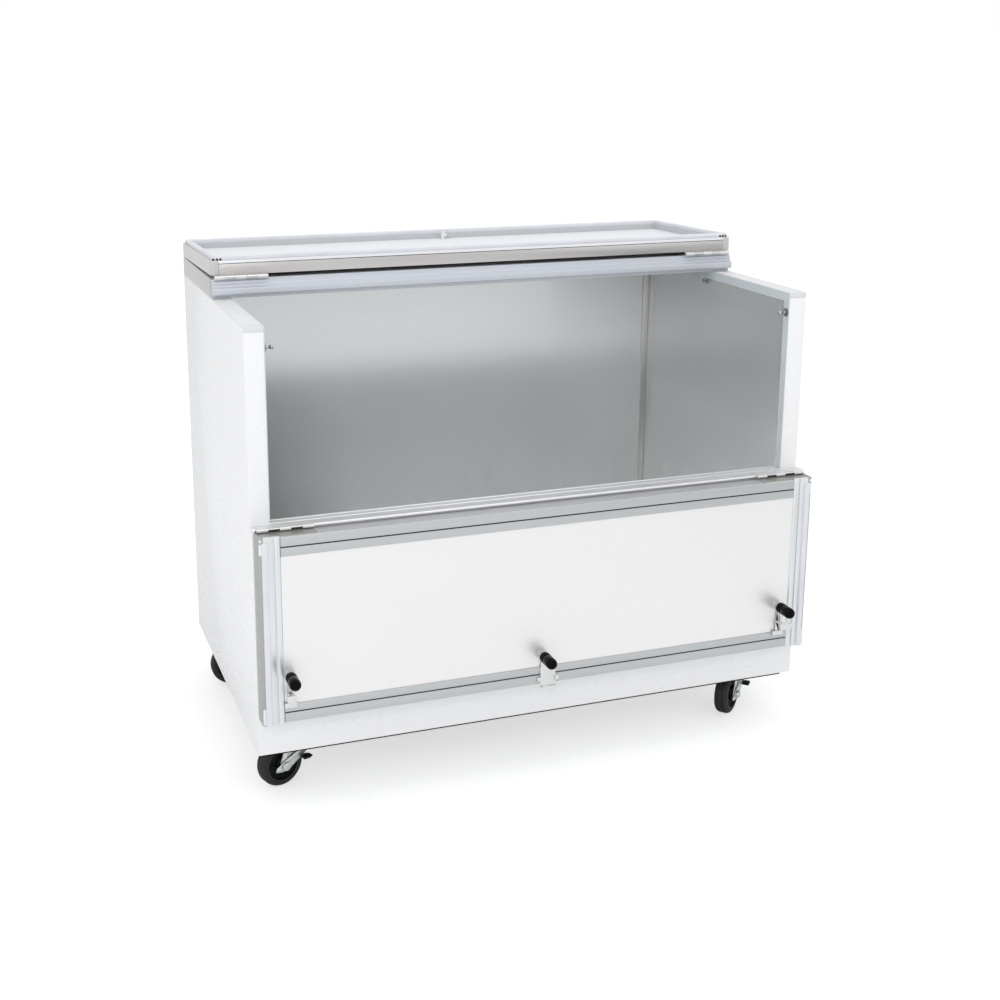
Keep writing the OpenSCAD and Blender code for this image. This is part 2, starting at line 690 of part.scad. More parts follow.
// Leaf fixed on the sill, and its partner on the drop front's edge, drawn about the pin
module sill_leaf() {
  z = knuckle_r - leaf_t;
  difference() {
    union() {
      knuckle_row(0, knuckle_r);
      knuckle_tab(0, 0, knuckle_r + 1, z, knuckle_r);
      block([-hinge_len / 2, knuckle_r + 0.5, z], [hinge_len / 2, knuckle_r + leaf_w, knuckle_r]);
    }
    hinge_bore();
  }
}
module door_leaf() { // hanging open
  difference() {
    union() {
      knuckle_row(1, knuckle_r);
      knuckle_tab(1, 0, knuckle_r, -door_rail_e, 0);
      block([-hinge_len / 2, -leaf_w - knuckle_r, -door_rail_e], [hinge_len / 2, knuckle_r, -door_rail_e + leaf_t]);
    }
    hinge_bore();
  }
}
// Leaves of the lid's hinges
module top_leaf() {
  r = lid_knuckle_r;
  z = -lid_lift / 2;
  difference() {
    union() {
      knuckle_row(0, r);
      knuckle_tab(0, 0, r + 1, z, z + leaf_t + 0.6);
      block([-hinge_len / 2, r + run_gap, z], [hinge_len / 2, r + leaf_w, z + leaf_t]);
    }
    hinge_bore();
  }
}
module lid_leaf() { // closed
  r = lid_knuckle_r;
  z = -lid_lift / 2;
  difference() {
    union() {
      knuckle_row(1, r);
      knuckle_tab(1, -r - 1, 0, z, z + leaf_t + 0.6);
      block([-hinge_len / 2, -r - leaf_w, z], [hinge_len / 2, -r - run_gap, z + leaf_t]);
    }
    hinge_bore();
  }
}
module fixed_hinge_leaves() {
  color("silver") place() {
    translate([0, door_axis_y, door_axis_z]) at_hinges() sill_leaf();
    translate([0, lid_axis_y, lid_axis_z]) at_hinges() top_leaf();
  }
}
module door_hinge_leaves() {
  color("silver") place() translate([0, door_axis_y, door_axis_z]) at_hinges() door_leaf();
}
module lid_hinge_leaves() {
  color("silver") lid_place() translate([0, lid_axis_y, lid_axis_z]) at_hinges() lid_leaf();
}
module hinge_pins() {
  color("gray") place() {
    translate([0, door_axis_y, door_axis_z]) at_hinges() rod_x(-hinge_len / 2, hinge_len / 2, pin_r);
    translate([0, lid_axis_y, lid_axis_z]) at_hinges() rod_x(-hinge_len / 2, hinge_len / 2, pin_r);
  }
}

// Lid: a pan with a hollow rim; modelled closed
module lid_outer_pan() {
  x = half_w;
  c = cover_t;
  z0 = lid_bottom;
  z1 = collar_top;
  color("silver") lid_place() difference() {
    union() {
      difference() {
        block([-x, lid_front, z0], [x, lid_rear, z1]);
        block([-x + c, lid_front + c, z0 + c], [x - c, lid_rear - c, z1 - c]);
        block([-x + rim_w, lid_front + rim_w, z0 - 1], [x - rim_w, lid_rear - rim_w, z0 + c + 1]);
      }
      difference() {
        block([-x + rim_w - c, lid_front + rim_w - c, z0], [x - rim_w + c, lid_rear - rim_w + c, z0 + rim_deep]);
        block([-x + rim_w, lid_front + rim_w, z0 - 1], [x - rim_w, lid_rear - rim_w, z0 + rim_deep + 1]);
      }
    }
    for (s = [-1, 1], y = [lid_front, lid_rear]) translate([s * x, y, 0])
      block([-lid_corner - seam, -lid_corner - seam, z0 - 1], [lid_corner + seam, lid_corner + seam, z1 + 1]);
  }
}
module lid_corner_caps() {
  r = 4;
  color("darkgray") lid_place() for (s = [0, 1], e = [0, 1])
    mirror([s, 0, 0]) translate([0, e * (lid_front + lid_rear), 0]) mirror([0, e, 0])
      translate([-half_w, lid_front, lid_bottom - 0.4]) linear_extrude(lid_t + 0.4)
        polygon(concat(arc(r, r, r, 180, 270), [[lid_corner, 0], [lid_corner, lid_corner], [0, lid_corner]]));
}
module lid_foam() {
  c = cover_t + edge;
  x = half_w;
  z0 = lid_bottom;
  color("khaki") lid_place() difference() {
    block([-x + c, lid_front + c, z0 + c], [x - c, lid_rear - c, collar_top - c]);
    block([-x + rim_w - c, lid_front + rim_w - c, z0], [x - rim_w + c, lid_rear - rim_w + c, z0 + rim_deep + panel_t]);
    for (s = [-1, 1], y = [lid_front, lid_rear]) translate([s * x, y, 0])
      block([-lid_corner - seam, -lid_corner - seam, z0 - 1], [lid_corner + seam, lid_corner + seam, collar_top + 1]);
  }
}
module lid_inner_panel() {
  x = half_w - rim_w + cover_t;
  color("white") lid_place()
    block([-x, lid_front + rim_w - cover_t, lid_bottom + rim_deep],
          [x, lid_rear - rim_w + cover_t, lid_bottom + rim_deep + panel_t]);
}
module lid_gasket() {
  x = half_w - seal_in;
  y0 = lid_front + seal_in;
  y1 = lid_rear - seal_in;
  r = seal_w / 2;
  z = lid_bottom - seal_h;
  corner = lid_corner - seal_in + 0.5;
  color("gainsboro") lid_place() {
    for (s = [-1, 1]) run_y(y0 + corner, y1 - corner) translate([s * (x - r), z]) seal_outline();
    for (y = [y0 + r, y1 - r]) run_x(-x + corner, x - corner) translate([y, z]) seal_outline();
    for (s = [-1, 1], e = [0, 1]) mirror([s < 0 ? 1 : 0, 0, 0])
      block([x - corner - edge, e == 0 ? y0 : y1 - corner - edge, z], [x, e == 0 ? y0 + corner + edge : y1, lid_bottom - 0.4]);
  }
}
module seal_outline() {
  r = seal_w / 2;
  polygon(concat([[r, seal_h], [-r, seal_h]], arc(-r + 2.5, 2.5, 2.5, 180, 270), arc(r - 2.5, 2.5, 2.5, 270, 360)));
}
// Strike on the lid's inner panel: a post with a ball at its side
post_w = 8;
module lid_strike() {
  z1 = lid_bottom + rim_deep;
  z0 = 2 * door_axis_z - door_bottom + 1.5;
  y1 = 2 * door_axis_y - bolt_y1 - 1.2;
  x = mid_x + plate_x + plate_w - 5.5;
  color("silver") lid_place() translate([x, 0, 0]) {
    block([0, y1 - 4, z0], [post_w, y1, z1]);
    block([0, y1 - 10, z1 - 1.5], [26, y1 + 2, z1]);
    translate([post_w + 3.5, y1 - 4, (z0 + z1) / 2 + 1]) sphere(r = 4.5, $fn = 32);
  }
}

// Drop front, hanging open
module leaf_notches() {
  translate([0, door_axis_y, door_axis_z]) at_hinges()
    block([-hinge_len / 2 - run_gap, -leaf_w - knuckle_r - run_gap, -door_rail_e - edge],
          [hinge_len / 2 + run_gap, 20, 20]);
}
// Stile section in plan, from the outer end inwards
module stile_outline() {
  b = door_back;
  f = door_face;
  w = stile_w;
  polygon(concat(
    [[0, b], [0, f + 5]], arc(5, f + 5, 5, 180, 270, 4),
    [[w - 15, f], [w - 15, f + 3.2], [w - 12, f + 3.2], [w - 12, f]],
    arc(w - 3, f + 3, 3, 270, 360, 4), [[w, b]]));
}
module door_stiles() {
  color("silver") place() difference() {
    both_sides() translate([-door_x, 0, door_bottom]) linear_extrude(door_h) stile_outline();
    leaf_notches();
    both_sides() block([-door_x + 3, door_back - 3.2, door_bottom - 1], [-panel_x - 4, door_back - 2, door_top + 1]);
  }
}
rail_groove_w = 3;
rail_groove_d = 4;
module door_rails() {
  x = panel_x - seam;
  color("silver") place() difference() {
    union() {
      block([-x, door_face, rail_top - hinge_rail_h], [x, door_back, rail_top]);
      block([-x, door_face, rail_bottom], [x, door_back, rail_bottom + free_rail_h]);
    }
    for (z = [rail_top - 21, rail_bottom + 21])
      block([-x - 1, door_face - 1, z - rail_groove_w / 2], [x + 1, door_face + rail_groove_d, z + rail_groove_w / 2]);
    leaf_notches();
  }
}
module door_inner_panel() {
  color("white") place()
    block([-panel_x + seam, panel_face, panel_z0 + seam], [panel_x - seam, panel_face + panel_t, panel_z1 - seam]);
}
module door_outer_skin() {
  color("white") place()
    block([-panel_x + seam, door_back - skin_t, panel_z0 + seam], [panel_x - seam, door_back, panel_z1 - seam]);
}
module door_foam() {
  color("khaki") place()
    block([-panel_x + seam, panel_face + panel_t, panel_z0 + seam],
          [panel_x - seam, door_back - skin_t, panel_z1 - seam]);
}

// Bulb gasket on the stiles: it meets the side walls' front faces when the front is shut
bead_x = 13;
bead_w = 12;
module door_gasket() {
  closed_gap = front_step - (2 * door_axis_y - door_face);
  h = closed_gap - run_gap;
  r = 3;
  z1 = door_top - 12;
  color("whitesmoke") place() both_sides() translate([-door_x + bead_x, door_face, door_bottom + 1]) linear_extrude(z1 - door_bottom)
    polygon(concat([[bead_w / 2, 0], [-bead_w / 2, 0]], arc(-bead_w / 2 + r, -h + r, r, 180, 270, 4),
      arc(bead_w / 2 - r, -h + r, r, 270, 360, 4)));
}

// Slide bolts: a guide on the drop front, a bolt that slides towards the free edge, a grip
left_x = -inner_x + bolt_left;
right_x = inner_x - bolt_right;
mid_x = -bolt_mid;
grip_z = door_bottom + grip_up;
mid_grip_z = door_bottom + mid_grip_up;
guide_z = rail_bottom + free_rail_h - 6;
guide_h = 10;
bolt_t = 2;
bolt_y1 = door_face - 0.8;
bolt_y0 = bolt_y1 - bolt_t;
blade_w = 12;
catch_open_y = 2 * door_axis_y - catch_y;
catch_open_z = 2 * door_axis_z - catch_z;
finger_t = 2.5;
finger_y0 = catch_open_y - catch_r - 1.8 - finger_t;
finger_z = catch_open_z + catch_r + 5;
finger_wall = breaker_t + 5;
plate_w = 35;
plate_x = -6.5;
blade_tip = rail_bottom - 6.5;
module guide(w, z, window) { // a strap over a sliding blade, or two cheeks beside it
  difference() {
    block([-w / 2 - 7, bolt_y0 - 2, z], [w / 2 + 7, door_face, z + guide_h]);
    block([-w / 2 - run_gap, bolt_y0 - run_gap, z - 1], [w / 2 + run_gap, door_face + 1, z + guide_h + 1]);
    if (window > 0) block([-window / 2, bolt_y0 - 3, z - 1], [window / 2, door_face, z + guide_h + 1]);
  }
}
module bolt_guides() {
  color("silver") place() {
    for (x = [left_x, right_x]) translate([x, 0, 0]) guide(blade_w, guide_z, 0);
    translate([mid_x + plate_x + plate_w / 2, 0, 0]) guide(plate_w, rail_bottom + 6, plate_w - 5);
  }
}
module outer_bolt(s, reach) { // spindle for the grip, tapered blade, finger that goes behind the catch
  zf = finger_z;
  translate([0, 0, grip_z]) rod_y(door_face - 14, bolt_y1, 8);
  run_y(bolt_y0, bolt_y1) polygon([[-3.5, grip_z], [3.5, grip_z], [blade_w / 2, guide_z + 16],
    [blade_w / 2, guide_z - 1], [-blade_w / 2, guide_z - 1], [-blade_w / 2, guide_z + 16]]);
  block([-5, finger_y0, zf + 12], [5, bolt_y0 + edge, zf + 16]);
  mirror([s < 0 ? 1 : 0, 0, 0]) run_y(finger_y0, finger_y0 + finger_t)
    polygon(concat(arc(-1, zf + 5, 5, 270, 180), [[-6, zf + 16], [reach, zf + 16]],
      arc(reach - 5, zf + 5, 5, 0, -90)));
}
module middle_blade() {
  x = mid_x + plate_x;
  translate([mid_x, 0, mid_grip_z]) rod_y(door_face - 14, bolt_y1, 8);
  block([mid_x - 5, bolt_y0, blade_tip], [mid_x + 12, bolt_y1, mid_grip_z]);
  block([x, bolt_y0, blade_tip], [x + plate_w, bolt_y1, mid_grip_z - 24]);
  block([x, bolt_y0 - 5, blade_tip], [x + plate_w, bolt_y0 + edge, blade_tip + 1.6]);
}
module left_bolt() { color("silver") place() translate([left_x, 0, 0]) outer_bolt(-1, bolt_left - finger_wall); }
module right_bolt() { color("silver") place() translate([right_x, 0, 0]) outer_bolt(1, bolt_right - finger_wall); }
module middle_bolt() { color("silver") place() middle_blade(); }

module grip(x, z) {
  y1 = door_face - grip_gap;
  y0 = y1 - grip_len;
  translate([x, 0, z]) difference() {
    union() {
      rod_y(y0 + grip_r, y1 - 2, grip_r);
      rod_y(y1 - 2 - edge, y1, grip_r - 2);
      translate([0, y0 + grip_r, 0]) sphere(r = grip_r);
    }
    rod_y(door_face - 14 - edge, y1 + 1, 8 + edge);
  }
}
module left_grip() { color("black") place() grip(left_x, grip_z); }
module right_grip() { color("black") place() grip(right_x, grip_z); }
module middle_grip() { color("black") place() grip(mid_x, mid_grip_z); }

// Casters, drawn about the swivel axis with the plate's top at Z = 0; the wheel trails to -X
module at_caster(sx, front) {
  place() translate([sx * (half_w - caster_side), front ? caster_end : body_d - caster_rear, base_z]) children();
}
module caster_plate() {
  block([-47, -34, -plate_t], [47, 34, 0]);
  translate([0, 0, -plate_t - race_t]) cylinder(h = race_t, r = 25);
  translate([0, 0, crown_z - crown_t - 4]) cylinder(h = crown_t + 6, r = king_r);
  translate([0, 0, crown_z - crown_t - 4]) cylinder(h = 3.6, r = 9);
}
module caster_plates() {
  color("silver") for (s = [-1, 1], f = [true, false]) at_caster(s, f) caster_plate();
}
module caster_fork() {
  difference() {
    union() {
      translate([0, 0, crown_z - crown_t]) cylinder(h = crown_t, r = 26);
      block([-27, -leg_y - leg_t, crown_z - crown_t], [20, leg_y + leg_t, crown_z]);
      for (s = [-1, 1]) mirror([0, s < 0 ? 1 : 0, 0]) {
        run_y(leg_y, leg_y + leg_t) union() {
          polygon([[-27, crown_z], [20, crown_z], [20, crown_z - 12], [-caster_trail + 12, axle_z],
                   [-caster_trail - 11, axle_z + 5], [-27, crown_z - 8]]);
          translate([-caster_trail, axle_z]) circle(12);
        }
      }
      translate([-caster_trail, 0, axle_z]) {
        rod_y(-leg_y - leg_t - 9, leg_y + leg_t + 5, axle_r);
        rod_y(leg_y + leg_t - edge, leg_y + leg_t + 4, 10);
        rod_y(-leg_y - leg_t - 9, -leg_y - leg_t - 5, 9);
      }
    }
    translate([0, 0, crown_z - crown_t - 1]) cylinder(h = crown_t + 2, r = king_r + pin_play);
  }
}
module caster_wheel() {
  translate([-caster_trail, 0, axle_z]) rotate([90, 0, 0]) rotate_extrude($fn = 72)
    polygon(concat(
      [[axle_r + pin_play, -wheel_w / 2 - 1.5], [16, -wheel_w / 2 - 1.5], [18, -wheel_w / 2 + 5], [34, -wheel_w / 2 + 5],
       [37, -wheel_w / 2]],
      arc(wheel_r - 6, -wheel_w / 2 + 6, 6, 270, 360, 4), arc(wheel_r - 6, wheel_w / 2 - 6, 6, 0, 90, 4),
      [[37, wheel_w / 2], [34, wheel_w / 2 - 5], [18, wheel_w / 2 - 5], [16, wheel_w / 2 + 1.5],
       [axle_r + pin_play, wheel_w / 2 + 1.5]]));
}
brake_y = -leg_y - leg_t - 1;
module caster_brake() {
  color("silver") difference() {
    union() {
      run_y(brake_y - 2.5, brake_y) {
        polygon([[-caster_trail - 24, axle_z - 9], [-caster_trail - 22, axle_z - 1], [-caster_trail - 2, axle_z + 12],
                 [-caster_trail + 57, axle_z + 34], [-caster_trail + 64, axle_z + 26],
                 [-caster_trail + 8, axle_z - 10], [-caster_trail - 8, axle_z - 12]]);
      }
      translate([-caster_trail + 62, 0, axle_z + 32]) rotate([0, -20, 0])
        block([-6, brake_y - 2.5, -4], [6, 4, -1]);
    }
    translate([-caster_trail, 0, axle_z]) rod_y(brake_y - 5, brake_y + 5, axle_r + pin_play);
  }
}
front_left_turn = 20;
front_right_turn = 41;
module front_left_fork() { color("silver") at_caster(-1, true) rotate([0, 0, front_left_turn]) caster_fork(); }
module front_left_wheel() { color("black") at_caster(-1, true) rotate([0, 0, front_left_turn]) caster_wheel(); }
module front_left_brake() { at_caster(-1, true) rotate([0, 0, front_left_turn]) caster_brake(); }
module front_right_fork() { color("silver") at_caster(1, true) rotate([0, 0, front_right_turn]) caster_fork(); }
module front_right_wheel() { color("black") at_caster(1, true) rotate([0, 0, front_right_turn]) caster_wheel(); }
module front_right_brake() { at_caster(1, true) rotate([0, 0, front_right_turn]) caster_brake(); }
module rear_left_fork() { color("silver") at_caster(-1, false) caster_fork(); }
module rear_left_wheel() { color("black") at_caster(-1, false) caster_wheel(); }
module rear_right_fork() { color("silver") at_caster(1, false) rotate([0, 0, 180]) caster_fork(); }
module rear_right_wheel() { color("black") at_caster(1, false) rotate([0, 0, 180]) caster_wheel(); }

left_side_panel();
right_side_panel();
front_panel();
back_panel();
rear_louvre_cover();
inner_liner();
foam_insulation();
base_frame();
wall_caps();
breaker_strips();
sill_rail();
fixed_top_cover();
fixed_top_rail();
fixed_top_underside();
evaporator_tubing();
compressor();
condenser_coil();
fan_shroud();
fan_motor();
refrigerant_lines();
filter_drier();
control_box();
drain_tube();
wall_catches();
fixed_hinge_leaves();
hinge_pins();
caster_plates();
lid_outer_pan();
lid_corner_caps();
lid_foam();
lid_inner_panel();
lid_gasket();
lid_hinge_leaves();
lid_strike();
door_stiles();
door_rails();
door_inner_panel();
door_outer_skin();
door_foam();
door_gasket();
door_hinge_leaves();
bolt_guides();
left_bolt();
left_grip();
right_bolt();
right_grip();
middle_bolt();
middle_grip();
fan_blade();
thermostat_dial();
front_left_fork();
front_left_wheel();
front_left_brake();
front_right_fork();
front_right_wheel();
front_right_brake();
rear_left_fork();
rear_left_wheel();
rear_right_fork();
rear_right_wheel();
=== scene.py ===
import math

import bmesh
import bpy
from bpy.props import FloatProperty, FloatVectorProperty, IntProperty, PointerProperty
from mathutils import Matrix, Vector


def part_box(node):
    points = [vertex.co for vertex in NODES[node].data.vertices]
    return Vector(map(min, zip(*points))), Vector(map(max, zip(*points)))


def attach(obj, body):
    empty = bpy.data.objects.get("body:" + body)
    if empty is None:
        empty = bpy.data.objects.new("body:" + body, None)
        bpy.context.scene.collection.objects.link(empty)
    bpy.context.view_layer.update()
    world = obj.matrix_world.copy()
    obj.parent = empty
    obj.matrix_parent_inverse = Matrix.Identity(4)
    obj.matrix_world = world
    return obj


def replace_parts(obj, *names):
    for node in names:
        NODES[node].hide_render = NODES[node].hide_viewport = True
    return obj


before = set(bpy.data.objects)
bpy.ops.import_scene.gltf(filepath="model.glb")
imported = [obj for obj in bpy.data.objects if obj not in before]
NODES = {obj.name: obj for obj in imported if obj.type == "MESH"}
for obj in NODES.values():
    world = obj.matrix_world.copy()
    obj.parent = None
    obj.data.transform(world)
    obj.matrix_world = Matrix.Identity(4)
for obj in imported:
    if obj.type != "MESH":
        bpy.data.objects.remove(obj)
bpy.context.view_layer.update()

bl_info = {
    "name": "Milk Cooler",
    "version": (1, 0, 0),
    "blender": (4, 5, 0),
    "location": "View3D > Sidebar > Milk Cooler",
    "description": "Dresses a drop-front milk cooler: sheets, trim, seals, latches and casters",
    "category": "Object",
}

SIDES = {"left": -1, "right": 1}
LATCHES = ("left", "right", "middle")
# Degrees by which each caster is swivelled at rest
CASTER_TURN = {"front_left": 20, "front_right": 41, "rear_left": 0, "rear_right": 180}
CASTERS = tuple(CASTER_TURN)
BRAKED = CASTERS[:2]
# How far the rim of the flipped lid drops per metre towards the back
LID_SLOPE = 0.02055
# Points closer than this are merged
MERGE = 0.00001


def low(node):
    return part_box(node)[0]


def high(node):
    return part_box(node)[1]


def centre(node):
    return (low(node) + high(node)) / 2


# Sizes and colours that a user would change


def length(name, description, default):
    return FloatProperty(name=name, description=description, default=default, unit="LENGTH")


def tint(name, description, default):
    return FloatVectorProperty(
        name=name, description=description, default=default, subtype="COLOR", size=3
    )


class CoolerSizes(bpy.types.PropertyGroup):
    bend_radius: length("Bend radius", "Radius of the side panels' bends", 0.0022)
    trim_edge: length("Trim edge", "Rounding of the drop front's rails and stiles", 0.0006)
    screw_radius: length("Screw radius", "Radius of a hinge screw's head", 0.00216)
    grip_radius: length("Grip radius", "Radius of a latch grip", 0.0119)
    dial_marks: IntProperty(
        name="Dial marks", description="Marks round the thermostat dial", default=9
    )


class CoolerColours(bpy.types.PropertyGroup):
    enamel: tint("Enamel", "White outer sheet", (0.80, 0.80, 0.805))
    laminate: tint("Laminate", "White inner panel of the drop front", (0.84, 0.825, 0.815))
    liner: tint("Liner", "Metal of the cavity", (0.80, 0.81, 0.81))
    aluminium: tint("Aluminium", "Extruded rails and stiles", (0.56, 0.575, 0.58))
    breaker: tint("Breaker strip", "Blue-grey strips round the cavity", (0.57, 0.615, 0.64))
    grip: tint("Grip", "Black plastic of the grips", (0.004, 0.004, 0.0045))


def sizes():
    return bpy.context.scene.cooler_sizes


def colours():
    return bpy.context.scene.cooler_colours


# Modelling with the operators of edit mode


def deselect():
    bpy.ops.object.select_all(action="DESELECT")


def only(obj):
    deselect()
    obj.select_set(True)
    bpy.context.view_layer.objects.active = obj


def named(obj, name):
    obj.name = name
    obj.data.name = name
    return obj


def settle(obj, name):
    """Names a new object and moves its place into its mesh."""
    only(named(obj, name))
    bpy.ops.object.transform_apply(location=True, rotation=True, scale=True)
    return obj


def new_block(name, lo, hi):
    """A box between its lowest and its highest corner."""
    lo, hi = Vector(lo), Vector(hi)
    deselect()
    bpy.ops.mesh.primitive_cube_add(size=1, location=(lo + hi) / 2)
    obj = bpy.context.active_object
    obj.scale = hi - lo
    return settle(obj, name)


def new_plane(name, size):
    deselect()
    bpy.ops.mesh.primitive_plane_add(size=size)
    return settle(bpy.context.active_object, name)


class Shaping:
    """Edit mode on one object, with picks by place or by normal."""

    def __init__(self, obj):
        self.obj = obj

    def __enter__(self):
        only(self.obj)
        bpy.ops.object.mode_set(mode="EDIT")
        return self

    def __exit__(self, *failure):
        bpy.ops.object.mode_set(mode="OBJECT")

    def pick(self, kind, test):
        bpy.ops.mesh.select_mode(type=kind)
        bpy.ops.mesh.select_all(action="DESELECT")
        shape = bmesh.from_edit_mesh(self.obj.data)
        for part in {"FACE": shape.faces, "EDGE": shape.edges}[kind]:
            part.select_set(test(part))
        bmesh.update_edit_mesh(self.obj.data)

    def faces(self, way):
        """Picks the faces that look one way."""
        self.pick("FACE", lambda face: face.normal.dot(Vector(way)) > 0.9)

    def edges(self, test):
        """Picks the edges whose two ends pass a test."""
        self.pick("EDGE", lambda edge: test(edge.verts[0].co, edge.verts[1].co))

    def inset(self, width):
        bpy.ops.mesh.inset(thickness=width, use_even_offset=True)

    def extrude(self, move):
        bpy.ops.mesh.extrude_region_move(TRANSFORM_OT_translate={"value": move})

    def grow(self, share, centre):
        bpy.ops.transform.resize(value=share, center_override=centre)

    def bevel(self, width, segments):
        bpy.ops.mesh.bevel(offset=width, segments=segments, affect="EDGES")


def smooth(obj, degrees=35):
    only(obj)
    bpy.ops.object.shade_smooth_by_angle(angle=math.radians(degrees))
    return obj


def rounded(obj, width, segments):
    """Rounds the sharp edges of a piece."""
    only(obj)
    bpy.ops.object.modifier_add(type="BEVEL")
    bevel = obj.modifiers[-1]
    bevel.width = width
    bevel.segments = segments
    bevel.limit_method = "ANGLE"
    bevel.angle_limit = math.radians(30)
    bpy.ops.object.modifier_apply(modifier=bevel.name)
    return smooth(obj)


def turned(name, radius, rise, rings, sides):
    """A turned shape that stands on the origin: a disc whose top is drawn out through rings."""
    deselect()
    bpy.ops.mesh.primitive_cylinder_add(
        radius=radius, depth=rise, vertices=sides, location=(0, 0, rise / 2)
    )
    obj = settle(bpy.context.active_object, name)
    with Shaping(obj) as s:
        s.faces((0, 0, 1))
        for reach, wide in rings:
            s.extrude((0, 0, reach - rise))
            s.grow((wide / radius, wide / radius, 1), (0, 0, reach))
            rise, radius = reach, wide
    return obj


def raised(obj, way, border, rise):
    """Raises the middle of the face that looks one way, inside a border."""
    with Shaping(obj) as s:
        s.faces(way)
        s.inset(border)
        s.extrude(Vector(way) * rise)
    return obj


def drawn_out(name, lo, hi, steps, edge):
    """A rounded block whose front end is drawn out by steps of a move, a share and its centre."""
    obj = new_block(name, lo, hi)
    with Shaping(obj) as s:
        s.faces((1, 0, 0))
        for move, share, middle in steps:
            s.extrude(move)
            s.grow(share, middle)
    return rounded(obj, edge, 3)


# Turns that lay a shape's Z axis along another way
TO_FRONT = (math.pi / 2, 0, 0)
TO_BACK = (-math.pi / 2, 0, 0)
UPRIGHT = (0, 0, 0)


def copies(first, spots):
    """Copies of a shape, each with its own mesh, place and turn. The first shape goes."""
    made = []
    for place, turn in spots:
        only(first)
        bpy.ops.object.duplicate(linked=False)
        twin = bpy.context.active_object
        twin.location = place
        twin.rotation_euler = turn
        made.append(settle(twin, twin.name))
    only(first)
    bpy.ops.object.delete()
    return made


def joined(pieces, name):
    deselect()
    for piece in pieces:
        piece.select_set(True)
    bpy.context.view_layer.objects.active = pieces[0]
    bpy.ops.object.join()
    return named(bpy.context.active_object, name)


def softened(node, width, segments):
    """A CAD node's shape with its sharp edges rounded, which then stands for the node."""
    only(NODES[node])
    bpy.ops.object.duplicate(linked=False)
    obj = bpy.context.active_object
    obj.parent = None
    for key in list(obj.keys()):
        del obj[key]
    settle(obj, node + "_shown")
    with Shaping(obj):
        bpy.ops.mesh.select_all(action="SELECT")
        bpy.ops.mesh.remove_doubles(threshold=MERGE)
        bpy.ops.mesh.dissolve_limited(angle_limit=math.radians(1))
    rounded(obj, width, segments)
    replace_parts(obj, node)
    return obj


def dressed(obj, *finishes):
    """Gives an object its materials in place of the ones it had."""
    obj.data.materials.clear()
    for finish in finishes:
        obj.data.materials.append(finish())
    return obj


def finished(obj, finish, body):
    """Gives a new piece its material and the body it rides on."""
    dressed(obj, finish)
    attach(obj, body)


# Materials: sockets written as expressions


class Wire:
    """One output socket, with the operators that shader maths needs."""

    def __init__(self, tree, socket):
        self.tree = tree
        self.socket = socket

    def _with(self, operation, first, second):
        return self.tree.node("ShaderNodeMath", {"operation": operation}, {0: first, 1: second})

    def __add__(self, other):
        return self._with("ADD", self, other)

    def __radd__(self, other):
        return self._with("ADD", other, self)

    def __sub__(self, other):
        return self._with("SUBTRACT", self, other)

    def __rsub__(self, other):
        return self._with("SUBTRACT", other, self)

    def __mul__(self, other):
        return self._with("MULTIPLY", self, other)

    def __rmul__(self, other):
        return self._with("MULTIPLY", other, self)

    def above(self, level):
        """1 where the value is over a level, and 0 elsewhere."""
        return self._with("GREATER_THAN", self, level)

    def between(self, start, end):
        """1 where the value is between two levels, and 0 elsewhere."""
        return self.above(start) - self.above(end)

    def held(self):
        """The value held between 0 and 1."""
        return self.tree.node("ShaderNodeClamp", {}, {"Value": self})


class Tree:
    """The nodes of a material or a world, and one method that adds any of them."""

    def __init__(self, owner):
        owner.use_nodes = True
        self.nodes = owner.node_tree.nodes
        self.links = owner.node_tree.links

    def node(self, kind, settings, values, out=0):
        """Adds a node with its settings, then its values or links, and gives one output."""
        made = self.nodes.new(kind)
        for key, value in settings.items():
            if key == "stops":
                for element, (place, grey) in zip(made.color_ramp.elements, value):
                    element.position = place
                    element.color = (grey, grey, grey, 1.0)
            else:
                setattr(made, key, value)
        for key, value in values.items():
            self.feed(made.inputs[key], value)
        return Wire(self, made.outputs[out]) if made.outputs else None

    def feed(self, socket, value):
        if isinstance(value, Wire):
            self.links.new(value.socket, socket)
        elif socket.type == "RGBA":
            socket.default_value = (*value, 1.0)
        else:
            socket.default_value = value

    def seen(self):
        """1 for what the camera sees itself, and 0 for what is mirrored or lit."""
        return self.node("ShaderNodeLightPath", {}, {}, out="Is Camera Ray")

    def mixed(self, output, share, first, second):
        """Ends the tree with two shaders, the second one by a share."""
        mix = self.node("ShaderNodeMixShader", {}, {0: share, 1: first, 2: second})
        self.node(output, {}, {"Surface": mix})


